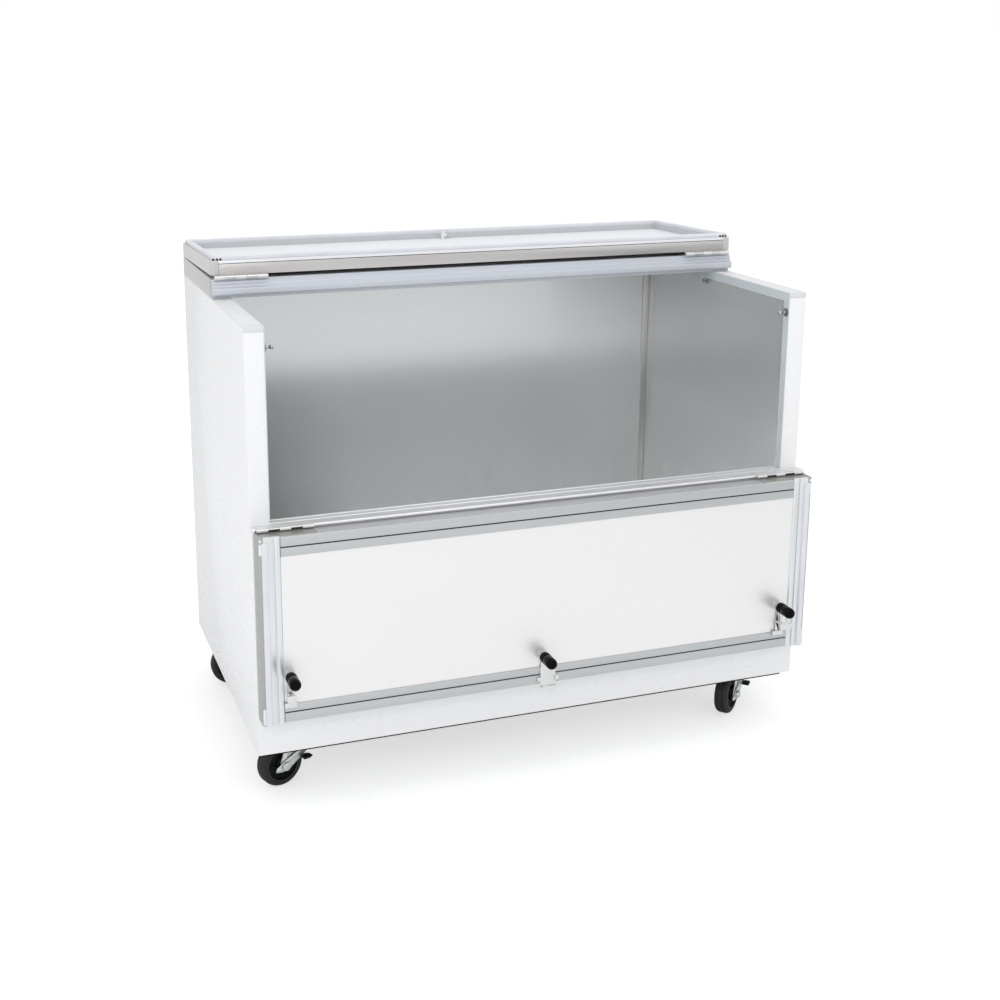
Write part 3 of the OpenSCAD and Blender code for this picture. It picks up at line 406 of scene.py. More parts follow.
class Finish(Tree):
    """A material with one Principled shader."""

    def __init__(self, name, **constants):
        self.material = bpy.data.materials.new(name)
        super().__init__(self.material)
        self.shader = self.nodes["Principled BSDF"]
        self.set(**constants)

    def set(self, **values):
        for key, value in values.items():
            self.feed(self.shader.inputs[key.replace("_", " ")], value)
        return self.material

    def along(self, axis):
        """Distance from the origin: X to the right, Y to the back, Z above the floor."""
        where = self.node("ShaderNodeTexCoord", {}, {}, out="Object")
        return self.node("ShaderNodeSeparateXYZ", {}, {"Vector": where}, out=axis)

    def across(self):
        """Distance from the middle towards the right, or the left, as a positive number."""
        return self.node("ShaderNodeMath", {"operation": "ABSOLUTE"}, {0: self.along("X")})

    def fade(self, axis, start, rate):
        """0 up to a start, then up to 1 by a rate per metre, which is below 0 the other way."""
        return ((self.along(axis) - start) * rate).held()

    def place(self, stretch=(1, 1, 1), turn=(0, 0, 0)):
        where = self.node("ShaderNodeTexCoord", {}, {}, out="Object")
        return self.node(
            "ShaderNodeMapping", {}, {"Vector": where, "Scale": stretch, "Rotation": turn}
        )

    def noise(self, scale, detail=2.0, stretch=(1, 1, 1), rough=0.5, turn=(0, 0, 0)):
        return self.node("ShaderNodeTexNoise", {}, {
            "Vector": self.place(stretch, turn),
            "Scale": scale,
            "Detail": detail,
            "Roughness": rough,
        })

    def grain(self, stretch, share=0.35):
        """Fine lines along one axis, a slow change of tone, and both in one tone."""
        lines = self.noise(60.0, 5.0, stretch, 0.65)
        broad = self.noise(3.0, 2.0)
        return lines, broad, (lines * share + broad * (1 - share)).held()

    def ramp(self, value, start, end):
        stops = ((start, 0.0), (end, 1.0))
        return self.node("ShaderNodeValToRGB", {"stops": stops}, {"Fac": value})

    def blend(self, share, first, second):
        return self.node(
            "ShaderNodeMix", {"data_type": "RGBA"}, {0: share, 6: first, 7: second}, out=2
        )

    def bump(self, height, strength, distance=0.0002):
        return self.node("ShaderNodeBump", {}, {
            "Height": height, "Strength": strength, "Distance": distance})


# Stretches that draw a pattern out into lines along the width or the height
SHEET_LINES = (0.35, 8.0, 8.0)
WIDTH_LINES = (0.15, 14.0, 14.0)
HEIGHT_LINES = (14.0, 14.0, 0.15)
COIL_LINES = (10.0, 10.0, 0.4)


MADE = {}


def made_once(maker):
    """Keeps the material that a finish makes, so that all its pieces share it."""

    def kept():
        if maker not in MADE:
            MADE[maker] = maker()
        return MADE[maker]

    return kept


def shade(colour, share):
    return tuple(min(1.0, part * share) for part in colour)


def painted(name, colour, rough, sway=38.0):
    """Baked enamel on sheet: an even coat over slightly wavy metal, with handling marks."""
    f = Finish(name, IOR=1.5)
    broad = f.noise(2.2, 3.0)
    wave = f.noise(sway, 1.0)
    smear = f.ramp(f.noise(9.0, 4.0, (1, 1, 2.4)), 0.45, 0.75)
    base = f.blend(broad, shade(colour, 0.99), shade(colour, 1.005))
    return f.set(
        Base_Color=f.blend(smear * 0.12, base, shade(colour, 0.97)),
        Roughness=rough + broad * 0.05 + smear * 0.04,
        Normal=f.bump(wave, 0.02, 0.0004),
    )


def brushed(name, colour, rough, stretch, crest=1.08, metallic=1.0):
    """Brushed or rolled metal: fine lines along one axis over a slow change of tone."""
    f = Finish(name, Metallic=metallic)
    lines, broad, tone = f.grain(stretch)
    return f.set(
        Base_Color=f.blend(tone, shade(colour, 0.90), shade(colour, crest)),
        Roughness=rough + lines * 0.08 + broad * 0.06,
        Normal=f.bump(lines, 0.04),
    )


def moulded(name, colour, rough, grain=700.0, depth=0.06, gloss=0.5):
    """Moulded plastic or rubber with a fine grain and slightly rubbed high spots."""
    f = Finish(name, Specular_IOR_Level=gloss)
    fine = f.noise(grain, 2.0)
    broad = f.noise(14.0, 3.0)
    return f.set(
        Base_Color=f.blend(broad, shade(colour, 0.88), shade(colour, 1.12)),
        Roughness=rough + fine * 0.06 + broad * 0.06,
        Normal=f.bump(fine, depth, 0.0003),
    )


@made_once
def white_enamel():
    return painted("white_enamel", colours().enamel, 0.24)


@made_once
def wall_cap_white():
    return painted("wall_cap_white", shade(colours().enamel, 0.83), 0.32, 50.0)


@made_once
def black_enamel():
    return painted("black_enamel", (0.015, 0.015, 0.016), 0.22)


@made_once
def stainless_sheet():
    return brushed("stainless_sheet", (0.64, 0.635, 0.63), 0.28, SHEET_LINES)


@made_once
def top_rail():
    return brushed("top_rail", (0.55, 0.57, 0.615), 0.50, WIDTH_LINES, metallic=0.35)


@made_once
def sill_extrusion():
    return brushed("sill_extrusion", (0.78, 0.785, 0.795), 0.33, WIDTH_LINES, 1.1124, 0.7)


@made_once
def leaf_steel():
    return brushed("leaf_steel", (0.70, 0.70, 0.695), 0.34, WIDTH_LINES, metallic=0.5)


@made_once
def coil_fins():
    return brushed("coil_fins", (0.58, 0.59, 0.60), 0.34, COIL_LINES)


@made_once
def dark_seal():
    return moulded("dark_seal", (0.035, 0.036, 0.038), 0.5, 900.0, 0.03, 0.2)


@made_once
def breaker_plastic():
    return moulded("breaker_plastic", colours().breaker, 0.34, 500.0, 0.02)


@made_once
def grey_plastic():
    return moulded("grey_plastic", (0.50, 0.50, 0.49), 0.38)


@made_once
def gasket_vinyl():
    return moulded("gasket_vinyl", (0.66, 0.675, 0.71), 0.40, 900.0, 0.03)


@made_once
def grip_plastic():
    return moulded("grip_plastic", colours().grip, 0.09, 300.0, 0.01, 0.04)


@made_once
def tyre_rubber():
    return moulded("tyre_rubber", (0.019, 0.019, 0.018), 0.50, 800.0, 0.12, 0.25)


@made_once
def hub_plastic():
    return moulded("hub_plastic", (0.005, 0.005, 0.005), 0.36, 600.0, 0.05, 0.12)


@made_once
def drain_plastic():
    return moulded("drain_plastic", (0.72, 0.73, 0.74), 0.36)


@made_once
def mark_paint():
    return moulded("mark_paint", (0.80, 0.80, 0.78), 0.5)


@made_once
def white_laminate():
    """Glossy white-coated sheet: it mirrors the grips that stand in front of it."""
    f = Finish("white_laminate", Metallic=0.60)
    colour = colours().laminate
    broad = f.noise(3.0, 2.0)
    pebble = f.noise(210.0, 2.0)
    return f.set(
        Base_Color=f.blend(broad, shade(colour, 0.99), shade(colour, 1.005)),
        Roughness=0.33 + pebble * 0.05 + broad * 0.03,
        Normal=f.bump(pebble, 0.02),
    )


@made_once
def lid_panel_white():
    """Smooth white panel of the lid, a little bluer than the enamel."""
    f = Finish("lid_panel_white", Specular_IOR_Level=0.3)
    broad = f.noise(3.0, 2.0)
    fine = f.noise(180.0, 2.0)
    return f.set(
        Base_Color=f.blend(broad, (0.74, 0.745, 0.762), (0.755, 0.76, 0.777)),
        Roughness=0.30 + fine * 0.05 + broad * 0.04,
        Normal=f.bump(fine, 0.01),
    )


@made_once
def liner_sheet():
    """Rolled sheet: a soft mirror with rolling lines and stains, painted reflections streaked
    near the foot, and painted shade on the upper end walls and at the lower left of the back.
    """
    f = Finish("liner_sheet")
    colour = colours().liner
    roll = f.noise(26.0, 6.0, (0.5, 0.5, 14.0), 0.6)
    stain = f.noise(2.6, 3.0, (1.0, 1.0, 0.6))
    streak = f.noise(9.0, 1.0, (1.0, 1.0, 0.12), turn=(0, math.radians(38), 0))
    # Painted reflection: diagonal streaks near the foot, darker and less metallic, stand in for
    # the cavity floor's ribs mirrored in the sheet
    reflected_foot_streaks = f.ramp(streak, 0.50, 0.66) * f.fade("Z", 0.50, -8.0)
    # Painted shade: the end walls darken towards the top, under the fixed top
    shaded_end_walls = f.across().above(high("inner_liner").x - 0.02) * f.fade("Z", 0.66, 3.6)
    # Painted shade: the back darkens at its lower left, next to the left wall
    shaded_left_corner = f.fade("X", -0.24, -2.9) * f.fade("Z", 0.80, -2.6)
    base = f.blend((roll * 0.4 + stain * 0.6).held(), shade(colour, 0.95), shade(colour, 1.05))
    base = f.blend(shaded_end_walls * 0.75, base, shade(colour, 0.40))
    base = f.blend(shaded_left_corner * 0.8, base, shade(colour, 0.40))
    return f.set(
        Base_Color=f.blend(reflected_foot_streaks * 0.5, base, shade(colour, 0.80)),
        Metallic=0.62 - reflected_foot_streaks * 0.2,
        Roughness=0.17 + roll * 0.04 + stain * 0.05,
        Normal=f.bump(roll, 0.010),
    )


@made_once
def lid_sheet():
    """The lid's sheet: a pale lip over a thin shadow line in front, blue-grey inside the rim."""
    f = Finish("lid_sheet")
    lines, broad, tone = f.grain(SHEET_LINES, 0.3)
    lo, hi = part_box("lid_outer_pan")
    rim, edge, skin = 0.0205, 0.0030, 0.0012
    line_foot, lip_foot = 1.0733, 1.0748
    levelled = f.along("Z") + f.along("Y") * LID_SLOPE
    front = 1 - f.along("Y").above(lo.y + edge)
    lip = front * levelled.above(lip_foot)
    line = front * levelled.between(line_foot, lip_foot)
    inside = f.along("Y").between(lo.y + 0.015, hi.y - rim)
    inside = inside * (1 - f.across().above(hi.x - rim))
    sheet = f.blend(tone, (0.50, 0.485, 0.475), (0.63, 0.615, 0.605))
    sheet = f.blend(f.across().above(hi.x - skin), sheet, (0.70, 0.695, 0.685))
    sheet = f.blend(inside, sheet, (0.50, 0.515, 0.535))
    sheet = f.blend(lip, sheet, (0.72, 0.72, 0.75))
    return f.set(
        Base_Color=f.blend(line, sheet, (0.07, 0.07, 0.072)),
        Metallic=(1 - inside * 0.85) * (1 - lip * 0.9),
        Roughness=0.27 + lines * 0.08 + broad * 0.06,
        Normal=f.bump(lines, 0.03),
    )


@made_once
def extrusion_along_x():
    """Rails of the drop front; their top face, where the hinge leaves lie, is painted one flat
    pale grey for how it is lit (painted light and shade).
    """
    f = Finish("extrusion_along_x", Metallic=0.8)
    colour = colours().aluminium
    lines, broad, tone = f.grain(WIDTH_LINES)
    skin = 0.0004
    # Painted light and shade: the top face gets its own flat grey for how that face is lit
    top = f.along("Z").above(high("door_rails").z - skin)
    base = f.blend(tone, shade(colour, 0.85), shade(colour, 1.03))
    return f.set(
        Base_Color=f.blend(top, base, (0.74, 0.745, 0.75)),
        Roughness=0.36 + lines * 0.08 + broad * 0.06,
        Normal=f.bump(lines, 0.04),
    )


@made_once
def extrusion_along_z():
    """Stiles of the drop front: faces painted lighter than the rails, with painted shade on the
    channel along the outer edge and a painted shadow line beside it.
    """
    f = Finish("extrusion_along_z")
    # Painted light: the stiles are the rails' aluminium made 1.34 times lighter
    colour = shade(colours().aluminium, 1.34)
    lines, broad, tone = f.grain(HEIGHT_LINES)
    channel_start = high("door_stiles").x - 0.0100
    line_width = 0.0006
    # Painted shade on the channel along the outer edge, and a painted shadow line at its inner
    # edge
    channel = f.across().above(channel_start)
    line = f.across().between(channel_start - line_width, channel_start)
    base = f.blend(tone, shade(colour, 0.92), shade(colour, 1.08))
    base = f.blend(channel, base, (0.41, 0.41, 0.405))
    return f.set(
        Base_Color=f.blend(line, base, (0.20, 0.20, 0.20)),
        Metallic=0.85 - channel * 0.35,
        Roughness=0.28 + channel * 0.2 + lines * 0.08 + broad * 0.06,
        Normal=f.bump(lines, 0.04),
    )


@made_once
def door_leaf():
    """Hinge leaves of the drop front: a warm grey of painted shade, a painted highlight on top of
    the barrel and painted shadow in the gaps below.
    """
    f = Finish("door_leaf", Metallic=0.6)
    lines = f.noise(60.0, 4.0, WIDTH_LINES, 0.6)
    lo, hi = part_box("door_hinge_leaves")
    band = 0.0018
    # Painted shade: the leaf's warm grey stands in for the shade under the sill
    steel = f.blend(lines, (0.36, 0.35, 0.325), (0.48, 0.47, 0.45))
    # Painted shadow in the gaps below the barrel
    barrel = f.blend(f.along("Z").above(lo.z + band), steel, (0.035, 0.034, 0.033))
    return f.set(
        # Painted highlight on top of the barrel
        Base_Color=f.blend(f.along("Z").above(hi.z - band), barrel, (0.66, 0.665, 0.675)),
        Roughness=0.36 + lines * 0.10,
        Normal=f.bump(lines, 0.04),
    )


@made_once
def zinc_plate():
    """Zinc-plated steel: bright, mottled, a little yellow in the hollows."""
    f = Finish("zinc_plate", Metallic=1.0)
    mottle = f.noise(160.0, 4.0)
    broad = f.noise(24.0, 2.0)
    base = f.blend(mottle, (0.66, 0.665, 0.66), (0.84, 0.845, 0.85))
    return f.set(
        Base_Color=f.blend(broad * 0.25, base, (0.60, 0.59, 0.54)),
        Roughness=0.22 + mottle * 0.12,
        Normal=f.bump(mottle, 0.06),
    )


@made_once
def catch_zinc():
    """Plating of the wall catches, painted darker than the other zinc as shade, with painted
    shade in the corner at the wall and behind the head.
    """
    f = Finish("catch_zinc", Metallic=0.85)
    mottle = f.noise(160.0, 4.0)
    wall = high("wall_catches").x
    # Painted shade in the corner at the wall and behind the head
    root = f.across().between(wall - 0.0050, wall - 0.0016)
    neck = f.across().between(wall - 0.0150, wall - 0.0100)
    # Painted shade: the plate is darker than the zinc of the other fittings
    plate = f.blend(mottle, (0.40, 0.405, 0.40), (0.60, 0.605, 0.61))
    return f.set(
        Base_Color=f.blend(root * 0.6 + neck * 0.8, plate, (0.05, 0.05, 0.048)),
        Roughness=0.26 + mottle * 0.12,
        Normal=f.bump(mottle, 0.06),
    )


@made_once
def caster_zinc():
    """Passivated zinc of the casters: pale, cool and mottled."""
    f = Finish("caster_zinc", Metallic=0.9)
    mottle = f.noise(90.0, 4.0)
    broad = f.noise(18.0, 2.0)
    base = f.blend(mottle, (0.50, 0.535, 0.52), (0.84, 0.88, 0.86))
    return f.set(
        Base_Color=f.blend(broad * 0.3, base, (0.72, 0.68, 0.66)),
        Roughness=0.24 + mottle * 0.14,
        Normal=f.bump(mottle, 0.08, 0.0003),
    )


@made_once
def galvanised_sheet():
    """Galvanised sheet: large faint crystals."""
    f = Finish("galvanised_sheet", Metallic=0.9)
    crystal = f.node(
        "ShaderNodeTexVoronoi", {}, {"Vector": f.place(), "Scale": 85.0}, out="Color"
    )
    grey = f.node("ShaderNodeRGBToBW", {}, {"Color": crystal})
    return f.set(
        Base_Color=f.blend(grey, (0.43, 0.44, 0.45), (0.56, 0.57, 0.58)),
        Roughness=0.34 + grey * 0.14,
        Normal=f.bump(grey, 0.03),
    )


@made_once
def copper_tube():
    """Drawn copper: bright stretches between tarnished ones."""
    f = Finish("copper_tube", Metallic=1.0)
    broad = f.noise(40.0, 3.0)
    return f.set(
        Base_Color=f.blend(broad, (0.50, 0.23, 0.12), (0.78, 0.44, 0.28)),
        Roughness=0.24 + broad * 0.18,
    )


@made_once
def poured_foam():
    """Yellowish foam with fine cells."""
    f = Finish("poured_foam")
    cells = f.noise(240.0, 4.0)
    return f.set(
        Base_Color=f.blend(cells, (0.72, 0.62, 0.34), (0.86, 0.77, 0.50)),
        Roughness=0.8 + cells * 0.1,
        Normal=f.bump(cells, 0.3, 0.0006),
    )


@made_once
def card_grey():
    """Grey of the card that the metal mirrors."""
    f = Finish("card_grey", Roughness=0.9)
    return f.set(Base_Color=f.blend(f.noise(2.0), (0.30, 0.30, 0.30), (0.34, 0.34, 0.34)))


# The CAD nodes that show each finish
FINISH_NODES = (
    (white_enamel, ("left_side_panel", "right_side_panel", "front_panel", "door_outer_skin")),
    (wall_cap_white, ("wall_caps", "fixed_top_underside")),
    (black_enamel, ("compressor", "fan_motor")),
    (stainless_sheet, ("fixed_top_cover", "lid_hinge_leaves")),
    (top_rail, ("fixed_top_rail",)),
    (sill_extrusion, ("sill_rail",)),
    (leaf_steel, ("fixed_hinge_leaves",)),
    (coil_fins, ("condenser_coil",)),
    (breaker_plastic, ("breaker_strips",)),
    (grey_plastic, ("lid_corner_caps",)),
    (gasket_vinyl, ("lid_gasket", "door_gasket")),
    (grip_plastic, ("left_grip", "right_grip", "middle_grip", "thermostat_dial")),
    (tyre_rubber, [corner + "_wheel" for corner in CASTERS]),
    (hub_plastic, ("fan_blade",)),
    (drain_plastic, ("drain_tube",)),
    (white_laminate, ("door_inner_panel",)),
    (lid_panel_white, ("lid_inner_panel",)),
    (liner_sheet, ("inner_liner",)),
    (lid_sheet, ("lid_outer_pan",)),
    (extrusion_along_x, ("door_rails",)),
    (extrusion_along_z, ("door_stiles",)),
    (door_leaf, ("door_hinge_leaves",)),
    (zinc_plate, ("hinge_pins", "caster_plates", "lid_strike", "bolt_guides")),
    (zinc_plate, [side + "_bolt" for side in LATCHES]),
    (catch_zinc, ("wall_catches",)),
    (caster_zinc, [corner + "_fork" for corner in CASTERS]),
    (caster_zinc, [corner + "_brake" for corner in BRAKED]),
    (galvanised_sheet, ("back_panel", "rear_louvre_cover", "base_frame")),
    (galvanised_sheet, ("fan_shroud", "control_box")),
    (copper_tube, ("evaporator_tubing", "refrigerant_lines", "filter_drier")),
    (poured_foam, ("foam_insulation", "lid_foam", "door_foam")),
)
NODE_FINISH = {node: finish for finish, nodes in FINISH_NODES for node in nodes}


class COOLER_OT_finishes(bpy.types.Operator):
    """Gives every CAD node its material"""

    bl_idname = "cooler.finishes"
    bl_label = "Finishes"

    def execute(self, context):
        for node, finish in NODE_FINISH.items():
            dressed(NODES[node], finish)
        return {"FINISHED"}


def soft_edges():
    """Rows of the rounded nodes: node, body, slot, rounding, segments."""
    bend, trim = sizes().bend_radius, sizes().trim_edge
    rows = [
        ("left_side_panel", "cabinet", "white_enamel", bend, 3),
        ("right_side_panel", "cabinet", "white_enamel", bend, 3),
        ("front_panel", "cabinet", "white_enamel", 0.0005, 2),
        ("wall_caps", "cabinet", "white_plastic", 0.0008, 2),
        ("sill_rail", "cabinet", "aluminium_trim", 0.0003, 1),
        ("fixed_top_cover", "cabinet", "stainless_sheet", 0.00045, 2),
        ("fixed_top_rail", "cabinet", "aluminium_trim", 0.0005, 2),
        ("wall_catches", "cabinet", "plated_steel", 0.00035, 2),
        ("lid_outer_pan", "lid", "stainless_sheet", 0.00045, 2),
        ("lid_corner_caps", "lid", "grey_plastic", 0.0012, 3),
        ("lid_gasket", "lid", "gasket_rubber", 0.0012, 3),
        ("lid_strike", "lid", "plated_steel", 0.0004, 2),
        ("door_rails", "drop_front", "aluminium_trim", trim, 2),
        ("door_stiles", "drop_front", "aluminium_trim", trim, 2),
        ("bolt_guides", "drop_front", "plated_steel", 0.0004, 2),
        ("thermostat_dial", "dial", "black_grip_plastic", 0.0008, 2),
    ]
    for side in LATCHES:
        rows.append((side + "_bolt", side + "_latch", "plated_steel", 0.00035, 2))
    for corner in CASTERS:
        rows.append((corner + "_fork", corner + "_caster", "plated_steel", 0.0006, 2))
    for corner in BRAKED:
        rows.append((corner + "_brake", corner + "_pedal", "plated_steel", 0.0004, 2))
    return rows


class COOLER_OT_soft_edges(bpy.types.Operator):
    """Rounds the bends of the sheets and the edges of the trim and the fittings"""

    bl_idname = "cooler.soft_edges"
    bl_label = "Soft edges"

    def execute(self, context):
        for node, body, slot, width, segments in soft_edges():
            finished(softened(node, width, segments), NODE_FINISH[node], body)
        return {"FINISHED"}


class COOLER_OT_grips(bpy.types.Operator):
    """Turned black grips of the three latches: a shank, a collar line and a domed end"""

    bl_idname = "cooler.grips"
    bl_label = "Grips"

    def execute(self, context):
        r = sizes().grip_radius
        reach = high("left_grip").y - low("left_grip").y
        foot, shank, collar = 0.0015, r * 0.80, r * 0.975
        rings = [(0.0025, r * 0.97), (0.0045, r), (0.0185, r)]
        rings += [(0.0190, collar), (0.0198, collar), (0.0203, r), (reach - r, r)]
        for step in range(1, 9):
            angle = math.radians(10 * step)
            rings.append((reach - r + r * math.sin(angle), r * math.cos(angle)))
        rings.append((reach, r * 0.10))
        first = smooth(turned("grip", shank, foot, rings, 48), 40)
        spots = []
        for side in LATCHES:
            middle = centre(side + "_grip")
            spots.append(((middle.x, high(side + "_grip").y, middle.z), TO_FRONT))
        for side, grip in zip(LATCHES, copies(first, spots)):
            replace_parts(named(grip, side + "_grip_turned"), side + "_grip")
            finished(grip, grip_plastic, side + "_latch")
        return {"FINISHED"}


def screw(radius):
    """A pan-head screw with a recess, standing on the origin."""
    shares = ((0.30, 0.88), (0.39, 0.66), (0.42, 0.40), (0.20, 0.20))
    rings = [(radius * reach, radius * wide) for reach, wide in shares]
    return smooth(turned("screw", radius, radius * 0.16, rings, 24), 30)


class COOLER_OT_screws(bpy.types.Operator):
    """Screws of the hinge leaves, the back panel and the rear cover"""

    bl_idname = "cooler.screws"
    bl_label = "Screws"

    def execute(self, context):
        half = high("front_panel").x
        leaf, inset, proud = 0.115, 0.006, 0.0012
        rows = (
            (low("front_panel").y + 0.003, high("sill_rail").z + proud),
            (low("fixed_top_rail").y + 0.024, high("fixed_top_cover").z + proud),
        )
        spots = [
            ((side * (half - inset - leaf * share), y, z), UPRIGHT)
            for side in SIDES.values() for share in (0.12, 0.50, 0.88) for y, z in rows
        ]
        hinge = joined(copies(screw(sizes().screw_radius), spots), "fixed_hinge_screws")
        finished(hinge, zinc_plate, "cabinet")

        back = high("back_panel").y
        lo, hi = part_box("rear_louvre_cover")
        margin, radius = 0.03, 0.0045
        step = (2 * half - 2 * margin) / 5
        spots = [
            ((margin - half + n * step, back, z), TO_BACK)
            for n in range(6) for z in (lo.z + 0.010, hi.z - 0.008)
        ]
        spots += [
            ((side * (half - 0.014), back, hi.z + 0.020 + n * 0.158), TO_BACK)
            for n in range(5) for side in SIDES.values()
        ]
        rear = joined(copies(screw(radius), spots), "rear_screws")
        finished(rear, zinc_plate, "cabinet")
        return {"FINISHED"}


def strip(name, half, tall, proud):
    """A round-ended strip that lies on the front of a stile, standing on the origin."""
    sunk = 0.0014
    obj = new_block(name, (-half, -proud, 0), (half, sunk, tall))
    with Shaping(obj) as s:
        s.edges(lambda one, two: abs(one.y - two.y) > 0.001)
        s.bevel(half * 0.92, 6)
    return obj


def on_stiles(first, inset, height, turn=UPRIGHT):
    """Copies of a shape on both stiles, at a distance from their outer edges."""
    lo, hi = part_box("door_stiles")
    reach = hi.x - inset
    return copies(first, [((side * reach, lo.y, height), turn) for side in SIDES.values()])


class COOLER_OT_stile_brackets(bpy.types.Operator):
    """Slots, screws and end plugs in the channels along the stiles' outer edges"""

    bl_idname = "cooler.stile_brackets"
    bl_label = "Stile brackets"

    def execute(self, context):
        foot, top = low("door_stiles").z, high("door_stiles").z
        plug = rounded(strip("plug", 0.0041, 0.035, 0.0008), 0.0003, 2)
        plugs = on_stiles(plug, 0.0051, foot + 0.002)
        slots = on_stiles(strip("slot", 0.0028, 0.023, 0.0004), 0.0050, top - 0.036)
        heads = on_stiles(screw(0.0026), 0.0050, top - 0.0065, TO_FRONT)
        for side, plug, slot, head in zip(SIDES, plugs, slots, heads):
            named(plug, side + "_stile_plug")
            finished(plug, sill_extrusion, "drop_front")
            bracket = joined([slot, head], side + "_bracket_screw")
            finished(bracket, white_enamel, "drop_front")
        return {"FINISHED"}


class COOLER_OT_rail_seals(bpy.types.Operator):
    """Dark strips in the grooves of the drop front's rails"""

    bl_idname = "cooler.rail_seals"
    bl_label = "Rail seals"

    def execute(self, context):
        lo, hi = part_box("door_rails")
        groove, half, end = 0.021, 0.0014, 0.0005
        seal = new_block(
            "rail_seal", (lo.x + end, lo.y + 0.0006, -half), (hi.x - end, lo.y + 0.0038, half)
        )
        raised(seal, (0, -1, 0), 0.0005, 0.0003)
        heights = (hi.z - groove, lo.z + groove)
        seals = copies(seal, [((0, 0, height), UPRIGHT) for height in heights])
        finished(joined(seals, "rail_seals"), dark_seal, "drop_front")
        return {"FINISHED"}


class COOLER_OT_catch_balls(bpy.types.Operator):
    """Ball tips of the two wall catches"""

    bl_idname = "cooler.catch_balls"
    bl_label = "Catch balls"

    def execute(self, context):
        lo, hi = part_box("wall_catches")
        radius, neck, pole, axis, reach = 0.0044, 0.0020, 0.0012, 0.009, 0.0200
        rings = []
        for step in range(2, 10):
            angle = math.radians(18 * step)
            wide = max(radius * math.sin(angle), pole)
            rings.append((radius * (1 - math.cos(angle)), wide))
        ball = smooth(turned("catch_ball", neck, 0.0006, rings, 32), 60)
        spots = []
        for side in SIDES.values():
            place = (side * (hi.x - reach), lo.y + axis, lo.z + axis)
            spots.append((place, (0, side * math.pi / 2, 0)))
        tips = joined(copies(ball, spots), "catch_balls")
        finished(tips, catch_zinc, "cabinet")
        return {"FINISHED"}


# Half of a wheel's section: radius, and distance from its middle along the axle
HUB_PROFILE = (
    (0.0062, 0.0174), (0.0150, 0.0174), (0.0168, 0.0158), (0.0176, 0.0105), (0.0200, 0.0094),
    (0.0320, 0.0094), (0.0338, 0.0110), (0.0350, 0.0152), (0.0372, 0.0158),
)
# The same of its tyre with one of two grooves: depth below the tread, and distance
TYRE_PROFILE = (
    (0.0090, 0.0159), (0.0050, 0.0148), (0.0022, 0.0126), (0.0006, 0.0094), (0.0, 0.0070),
    (0.0001, 0.0062), (0.0014, 0.0056), (0.0014, 0.0046), (0.0, 0.0040),
)


def new_wheel(name, radius):
    """A tyre and its hub, spun round an axle along Y."""
    profile = [*HUB_PROFILE, *((radius - depth, away) for depth, away in TYRE_PROFILE)]
    profile += [(up, -away) for up, away in reversed(profile)]
    obj = new_plane(name, 0.01)
    with Shaping(obj):
        bpy.ops.mesh.select_all(action="SELECT")
        bpy.ops.mesh.delete(type="VERT")
        shape = bmesh.from_edit_mesh(obj.data)
        points = [shape.verts.new((0, away, up)) for up, away in profile]
        for one, two in zip(points, points[1:] + points[:1]):
            shape.edges.new((one, two))
        bmesh.update_edit_mesh(obj.data)
        bpy.ops.mesh.select_all(action="SELECT")
        bpy.ops.mesh.spin(steps=72, angle=math.tau, center=(0, 0, 0), axis=(0, 1, 0))
        bpy.ops.mesh.select_all(action="SELECT")
        bpy.ops.mesh.remove_doubles(threshold=MERGE)
        bpy.ops.mesh.normals_make_consistent(inside=False)
    dressed(smooth(obj, 32), tyre_rubber, hub_plastic)
    for face in obj.data.polygons:
        away = math.hypot(face.center.x, face.center.z)
        face.material_index = 1 if away < radius * 0.70 else 0
    return obj


def on_casters(first, corners):
    """Copies of a shape that was modelled round the origin, one round each wheel's middle."""
    spots = []
    for corner in corners:
        turn = (0, 0, math.radians(CASTER_TURN[corner]))
        spots.append((centre(corner + "_wheel"), turn))
    return zip(corners, copies(first, spots))


class COOLER_OT_wheels(bpy.types.Operator):
    """Grooved tyres with hubs, and the black tabs and toe pads of the brake pedals"""

    bl_idname = "cooler.wheels"
    bl_label = "Wheels"

    def execute(self, context):
        lo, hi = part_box("front_left_wheel")
        for corner, tyre in on_casters(new_wheel("wheel", (hi.z - lo.z) / 2), CASTERS):
            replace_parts(named(tyre, corner + "_tyre"), corner + "_wheel")
            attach(tyre, corner + "_roller")
        tab = drawn_out("tab", (0.0520, -0.0290, 0.0235), (0.0760, 0.0070, 0.0315), (
            ((0.004, 0, -0.0020), (1, 0.92, 0.85), (0.0800, -0.0110, 0.0255)),
            ((0.002, 0, -0.0050), (1, 0.86, 0.70), (0.0820, -0.0110, 0.0205)),
        ), 0.0014)
        toe = drawn_out("toe", (0.0380, -0.0390, 0.0070), (0.0520, -0.0226, 0.0130), (
            ((0.008, 0, 0), (1, 0.7, 0.4), (0.0600, -0.0320, 0.0095)),
        ), 0.0010)
        for first, word in ((tab, "_brake_tab"), (toe, "_brake_toe")):
            for corner, pad in on_casters(first, BRAKED):
                named(pad, corner + word)
                finished(pad, hub_plastic, corner + "_pedal")
        return {"FINISHED"}


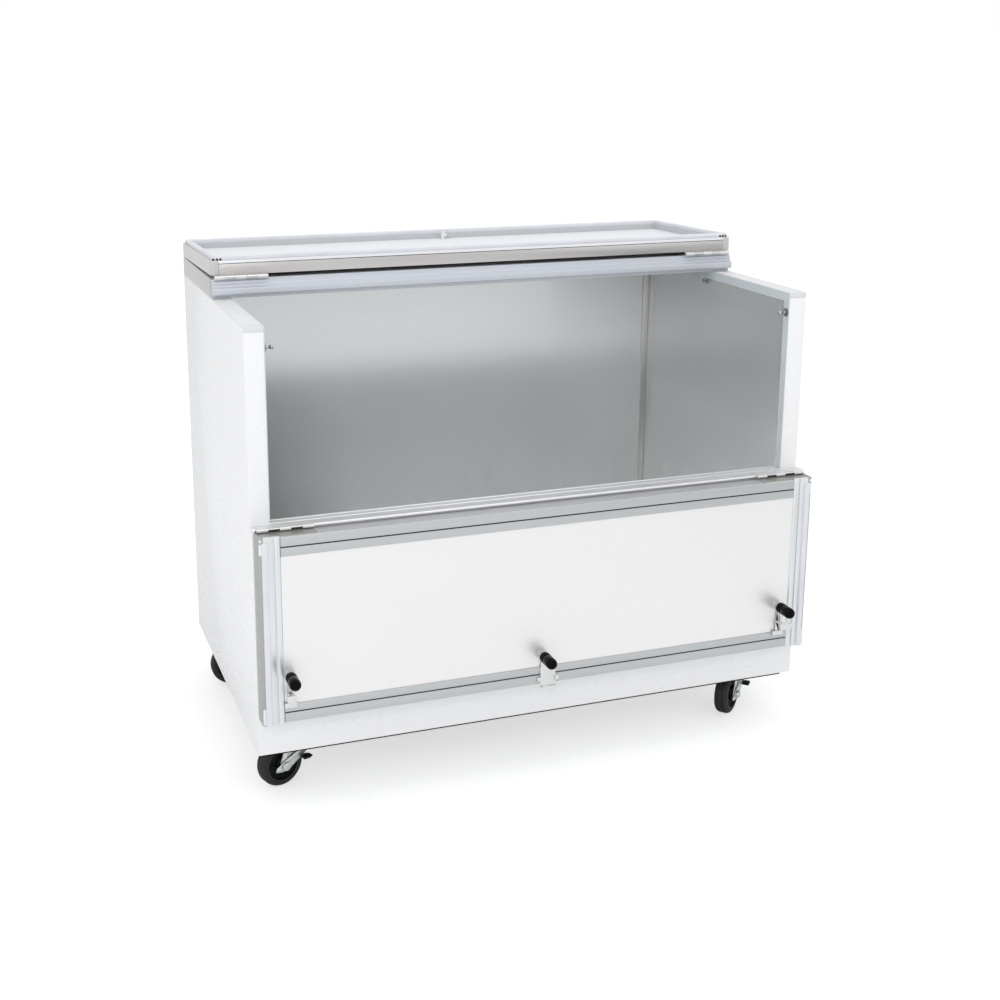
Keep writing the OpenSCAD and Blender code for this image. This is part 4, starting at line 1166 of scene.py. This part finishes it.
class COOLER_OT_corner_keys(bpy.types.Operator):
    """Small black keys on the lid's corner caps"""

    bl_idname = "cooler.corner_keys"
    bl_label = "Corner keys"

    def execute(self, context):
        lo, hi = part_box("lid_corner_caps")
        pitch, margin = 0.0075, 0.009
        key = new_block("key", (-0.0021, -0.0035, -0.0012), (0.0021, 0.0035, 0.0034))
        raised(key, (0, 0, 1), 0.0007, 0.0008)
        spots = []
        for y in (lo.y + margin, hi.y - margin):
            top = hi.z - (y - lo.y) * LID_SLOPE
            for n in range(1, 4):
                for x in (lo.x + n * pitch, hi.x - n * pitch):
                    spots.append(((x, y, top), UPRIGHT))
        keys = joined(copies(key, spots), "lid_corner_keys")
        finished(keys, hub_plastic, "lid")
        return {"FINISHED"}


def on_ends(first, reach):
    """Copies of a shape at the left and the right, at a distance from the middle."""
    return copies(first, [((side * reach, 0, 0), UPRIGHT) for side in SIDES.values()])


class COOLER_OT_liner_seams(bpy.types.Operator):
    """Folded seams in the liner's rear corners"""

    bl_idname = "cooler.liner_seams"
    bl_label = "Liner seams"

    def execute(self, context):
        lo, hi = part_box("inner_liner")
        sheet, half, thick = 0.001, 0.008, 0.0012
        back = hi.y - sheet
        fold = new_block(
            "seam", (-half, back - thick, lo.z + sheet + 0.0005), (half, back, hi.z - 0.004)
        )
        reach = hi.x - sheet - half
        folds = joined(on_ends(rounded(fold, 0.0005, 2), reach), "liner_corner_seams")
        finished(folds, stainless_sheet, "cabinet")
        return {"FINISHED"}


class COOLER_OT_shadow_strip_and_sill_ends(bpy.types.Operator):
    """Dark strip under the front panel, a painted shadow under its lower edge, and the end pieces
    of the sill
    """

    bl_idname = "cooler.hems"
    bl_label = "Shadow strip and sill ends"

    def execute(self, context):
        lo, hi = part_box("front_panel")
        # Painted shadow: a dark strip just under the front panel's lower edge
        shadow_strip = new_block(
            "front_shadow_strip",
            (lo.x + 0.003, lo.y + 0.0003, lo.z - 0.0026),
            (hi.x - 0.026, lo.y + 0.003, lo.z),
        )
        raised(shadow_strip, (0, -1, 0), 0.0006, 0.0002)
        finished(shadow_strip, hub_plastic, "cabinet")

        lo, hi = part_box("sill_rail")
        half, proud = 0.0016, 0.0002
        end = new_block(
            "sill_end",
            (-half, lo.y - 0.0010, lo.z + 0.0006),
            (half, lo.y + 0.026, hi.z + 0.0008),
        )
        with Shaping(end) as s:
            s.edges(lambda one, two: max(one.y, two.y) < lo.y and abs(one.z - two.z) < MERGE)
            s.bevel(0.0052, 4)
        ends = joined(on_ends(rounded(end, 0.0003, 1), hi.x + proud - half), "sill_ends")
        finished(ends, sill_extrusion, "cabinet")
        return {"FINISHED"}


class COOLER_OT_dial(bpy.types.Operator):
    """Marks on the back panel round the thermostat dial"""

    bl_idname = "cooler.dial"
    bl_label = "Dial marks"

    def execute(self, context):
        middle = centre("thermostat_dial")
        place = (middle.x, high("back_panel").y, middle.z)
        count, sweep = sizes().dial_marks, math.radians(270)
        mark = new_block("dial_mark", (-0.0007, 0, 0.0245), (0.0007, 0.0004, 0.0295))
        spots = [(place, (0, n * sweep / (count - 1) - sweep / 2, 0)) for n in range(count)]
        marks = joined(copies(mark, spots), "dial_marks")
        finished(marks, mark_paint, "cabinet")
        return {"FINISHED"}


# Lamps: name, place, aim, size, power
LAMPS = (
    ("key", (-2.4, -4.4, 2.2), (0, 0, 0.5), 3.0, 28),
    ("fill", (3.2, -3.4, 2.0), (0, 0, 0.5), 2.6, 8),
    ("top", (0.2, -0.6, 4.2), (0, 0.2, 0.5), 3.0, 27),
    ("side", (-4.6, -0.8, 1.8), (0, 0, 0.5), 2.6, 10),
    ("glint", (-2.2, -3.4, 3.0), (0, 0, 0.4), 0.26, 12),
)


class COOLER_OT_stage(bpy.types.Operator):
    """Floor, mirrored card, lamps, world and camera"""

    bl_idname = "cooler.stage"
    bl_label = "Stage"

    def execute(self, context):
        self.lay_floor()
        self.lay_card()
        for lamp in LAMPS:
            self.hang_lamp(*lamp)
        self.light_world(context.scene)
        self.set_camera(context.scene)
        context.scene.view_settings.view_transform = "Standard"
        return {"FINISHED"}

    def lay_floor(self):
        """A pale floor that is white to the camera but keeps the shadow."""
        floor = new_plane("floor", 60)
        material = bpy.data.materials.new("floor_white")
        tree = Tree(material)
        tree.nodes.clear()
        material.cycles.emission_sampling = "NONE"
        matt = tree.node("ShaderNodeBsdfDiffuse", {}, {"Color": (0.88, 0.88, 0.885)})
        glow = tree.node("ShaderNodeEmission", {}, {"Color": (1, 1, 1), "Strength": 1.32})
        tree.mixed("ShaderNodeOutputMaterial", tree.seen() * 0.45, matt, glow)
        floor.data.materials.append(material)

    def lay_card(self):
        """A grey card low in front, out of view, that only the metal mirrors."""
        card = new_plane("mirror_card", 1)
        near, far, right, lift = -5.2, -2.6, 7.0, 0.004
        with Shaping(card):
            shape = bmesh.from_edit_mesh(card.data)
            for point in shape.verts:
                y, left = (far, 1.62) if point.co.y > 0 else (near, 2.75)
                point.co = (right if point.co.x > 0 else left, y, lift)
            bmesh.update_edit_mesh(card.data)
        dressed(card, card_grey)
        card.visible_camera = card.visible_diffuse = card.visible_shadow = False

    def hang_lamp(self, name, place, aim, size, power):
        bpy.ops.object.light_add(type="AREA", location=place)
        lamp = bpy.context.active_object
        lamp.name = name
        lamp.data.shape = "DISK"
        lamp.data.size = size
        lamp.data.energy = power
        lamp.rotation_euler = (Vector(aim) - Vector(place)).to_track_quat("-Z", "Y").to_euler()

    def light_world(self, scene):
        """Soft light from all round, and plain white behind the object."""
        scene.world = bpy.data.worlds.new("studio")
        tree = Tree(scene.world)
        tree.nodes.clear()
        kind = "ShaderNodeBackground"
        soft = tree.node(kind, {}, {"Color": (0.98, 0.99, 1.0), "Strength": 0.94})
        white = tree.node(kind, {}, {"Color": (1, 1, 1), "Strength": 1.0})
        tree.mixed("ShaderNodeOutputWorld", tree.seen(), soft, white)

    def set_camera(self, scene):
        """The photograph's view: from a little above and to the left."""
        down, aside = math.radians(13.47), math.radians(-19.13)
        bpy.ops.object.camera_add(
            location=(-1.1275, -2.930, 1.508), rotation=(math.pi / 2 - down, 0, aside)
        )
        scene.camera = bpy.context.active_object
        view = scene.camera.data
        view.sensor_width = 36
        view.lens = 50.97
        view.shift_x = 0.0546
        view.shift_y = -0.108
        view.clip_end = 200


STEPS = (
    COOLER_OT_finishes,
    COOLER_OT_soft_edges,
    COOLER_OT_grips,
    COOLER_OT_screws,
    COOLER_OT_stile_brackets,
    COOLER_OT_rail_seals,
    COOLER_OT_catch_balls,
    COOLER_OT_wheels,
    COOLER_OT_corner_keys,
    COOLER_OT_liner_seams,
    COOLER_OT_shadow_strip_and_sill_ends,
    COOLER_OT_dial,
    COOLER_OT_stage,
)


class COOLER_PT_steps(bpy.types.Panel):
    """Lists the steps that dress the cooler"""

    bl_idname = "COOLER_PT_steps"
    bl_label = "Milk Cooler"
    bl_space_type = "VIEW_3D"
    bl_region_type = "UI"
    bl_category = "Milk Cooler"

    def draw(self, context):
        for step in STEPS:
            self.layout.operator(step.bl_idname)


CLASSES = (CoolerSizes, CoolerColours, *STEPS, COOLER_PT_steps)


def register():
    for cls in CLASSES:
        bpy.utils.register_class(cls)
    bpy.types.Scene.cooler_sizes = PointerProperty(type=CoolerSizes)
    bpy.types.Scene.cooler_colours = PointerProperty(type=CoolerColours)


def unregister():
    del bpy.types.Scene.cooler_colours
    del bpy.types.Scene.cooler_sizes
    for cls in reversed(CLASSES):
        bpy.utils.unregister_class(cls)


def main():
    register()
    for step in STEPS:
        group, name = step.bl_idname.split(".")
        getattr(getattr(bpy.ops, group), name)()


if __name__ == "__main__":
    main()
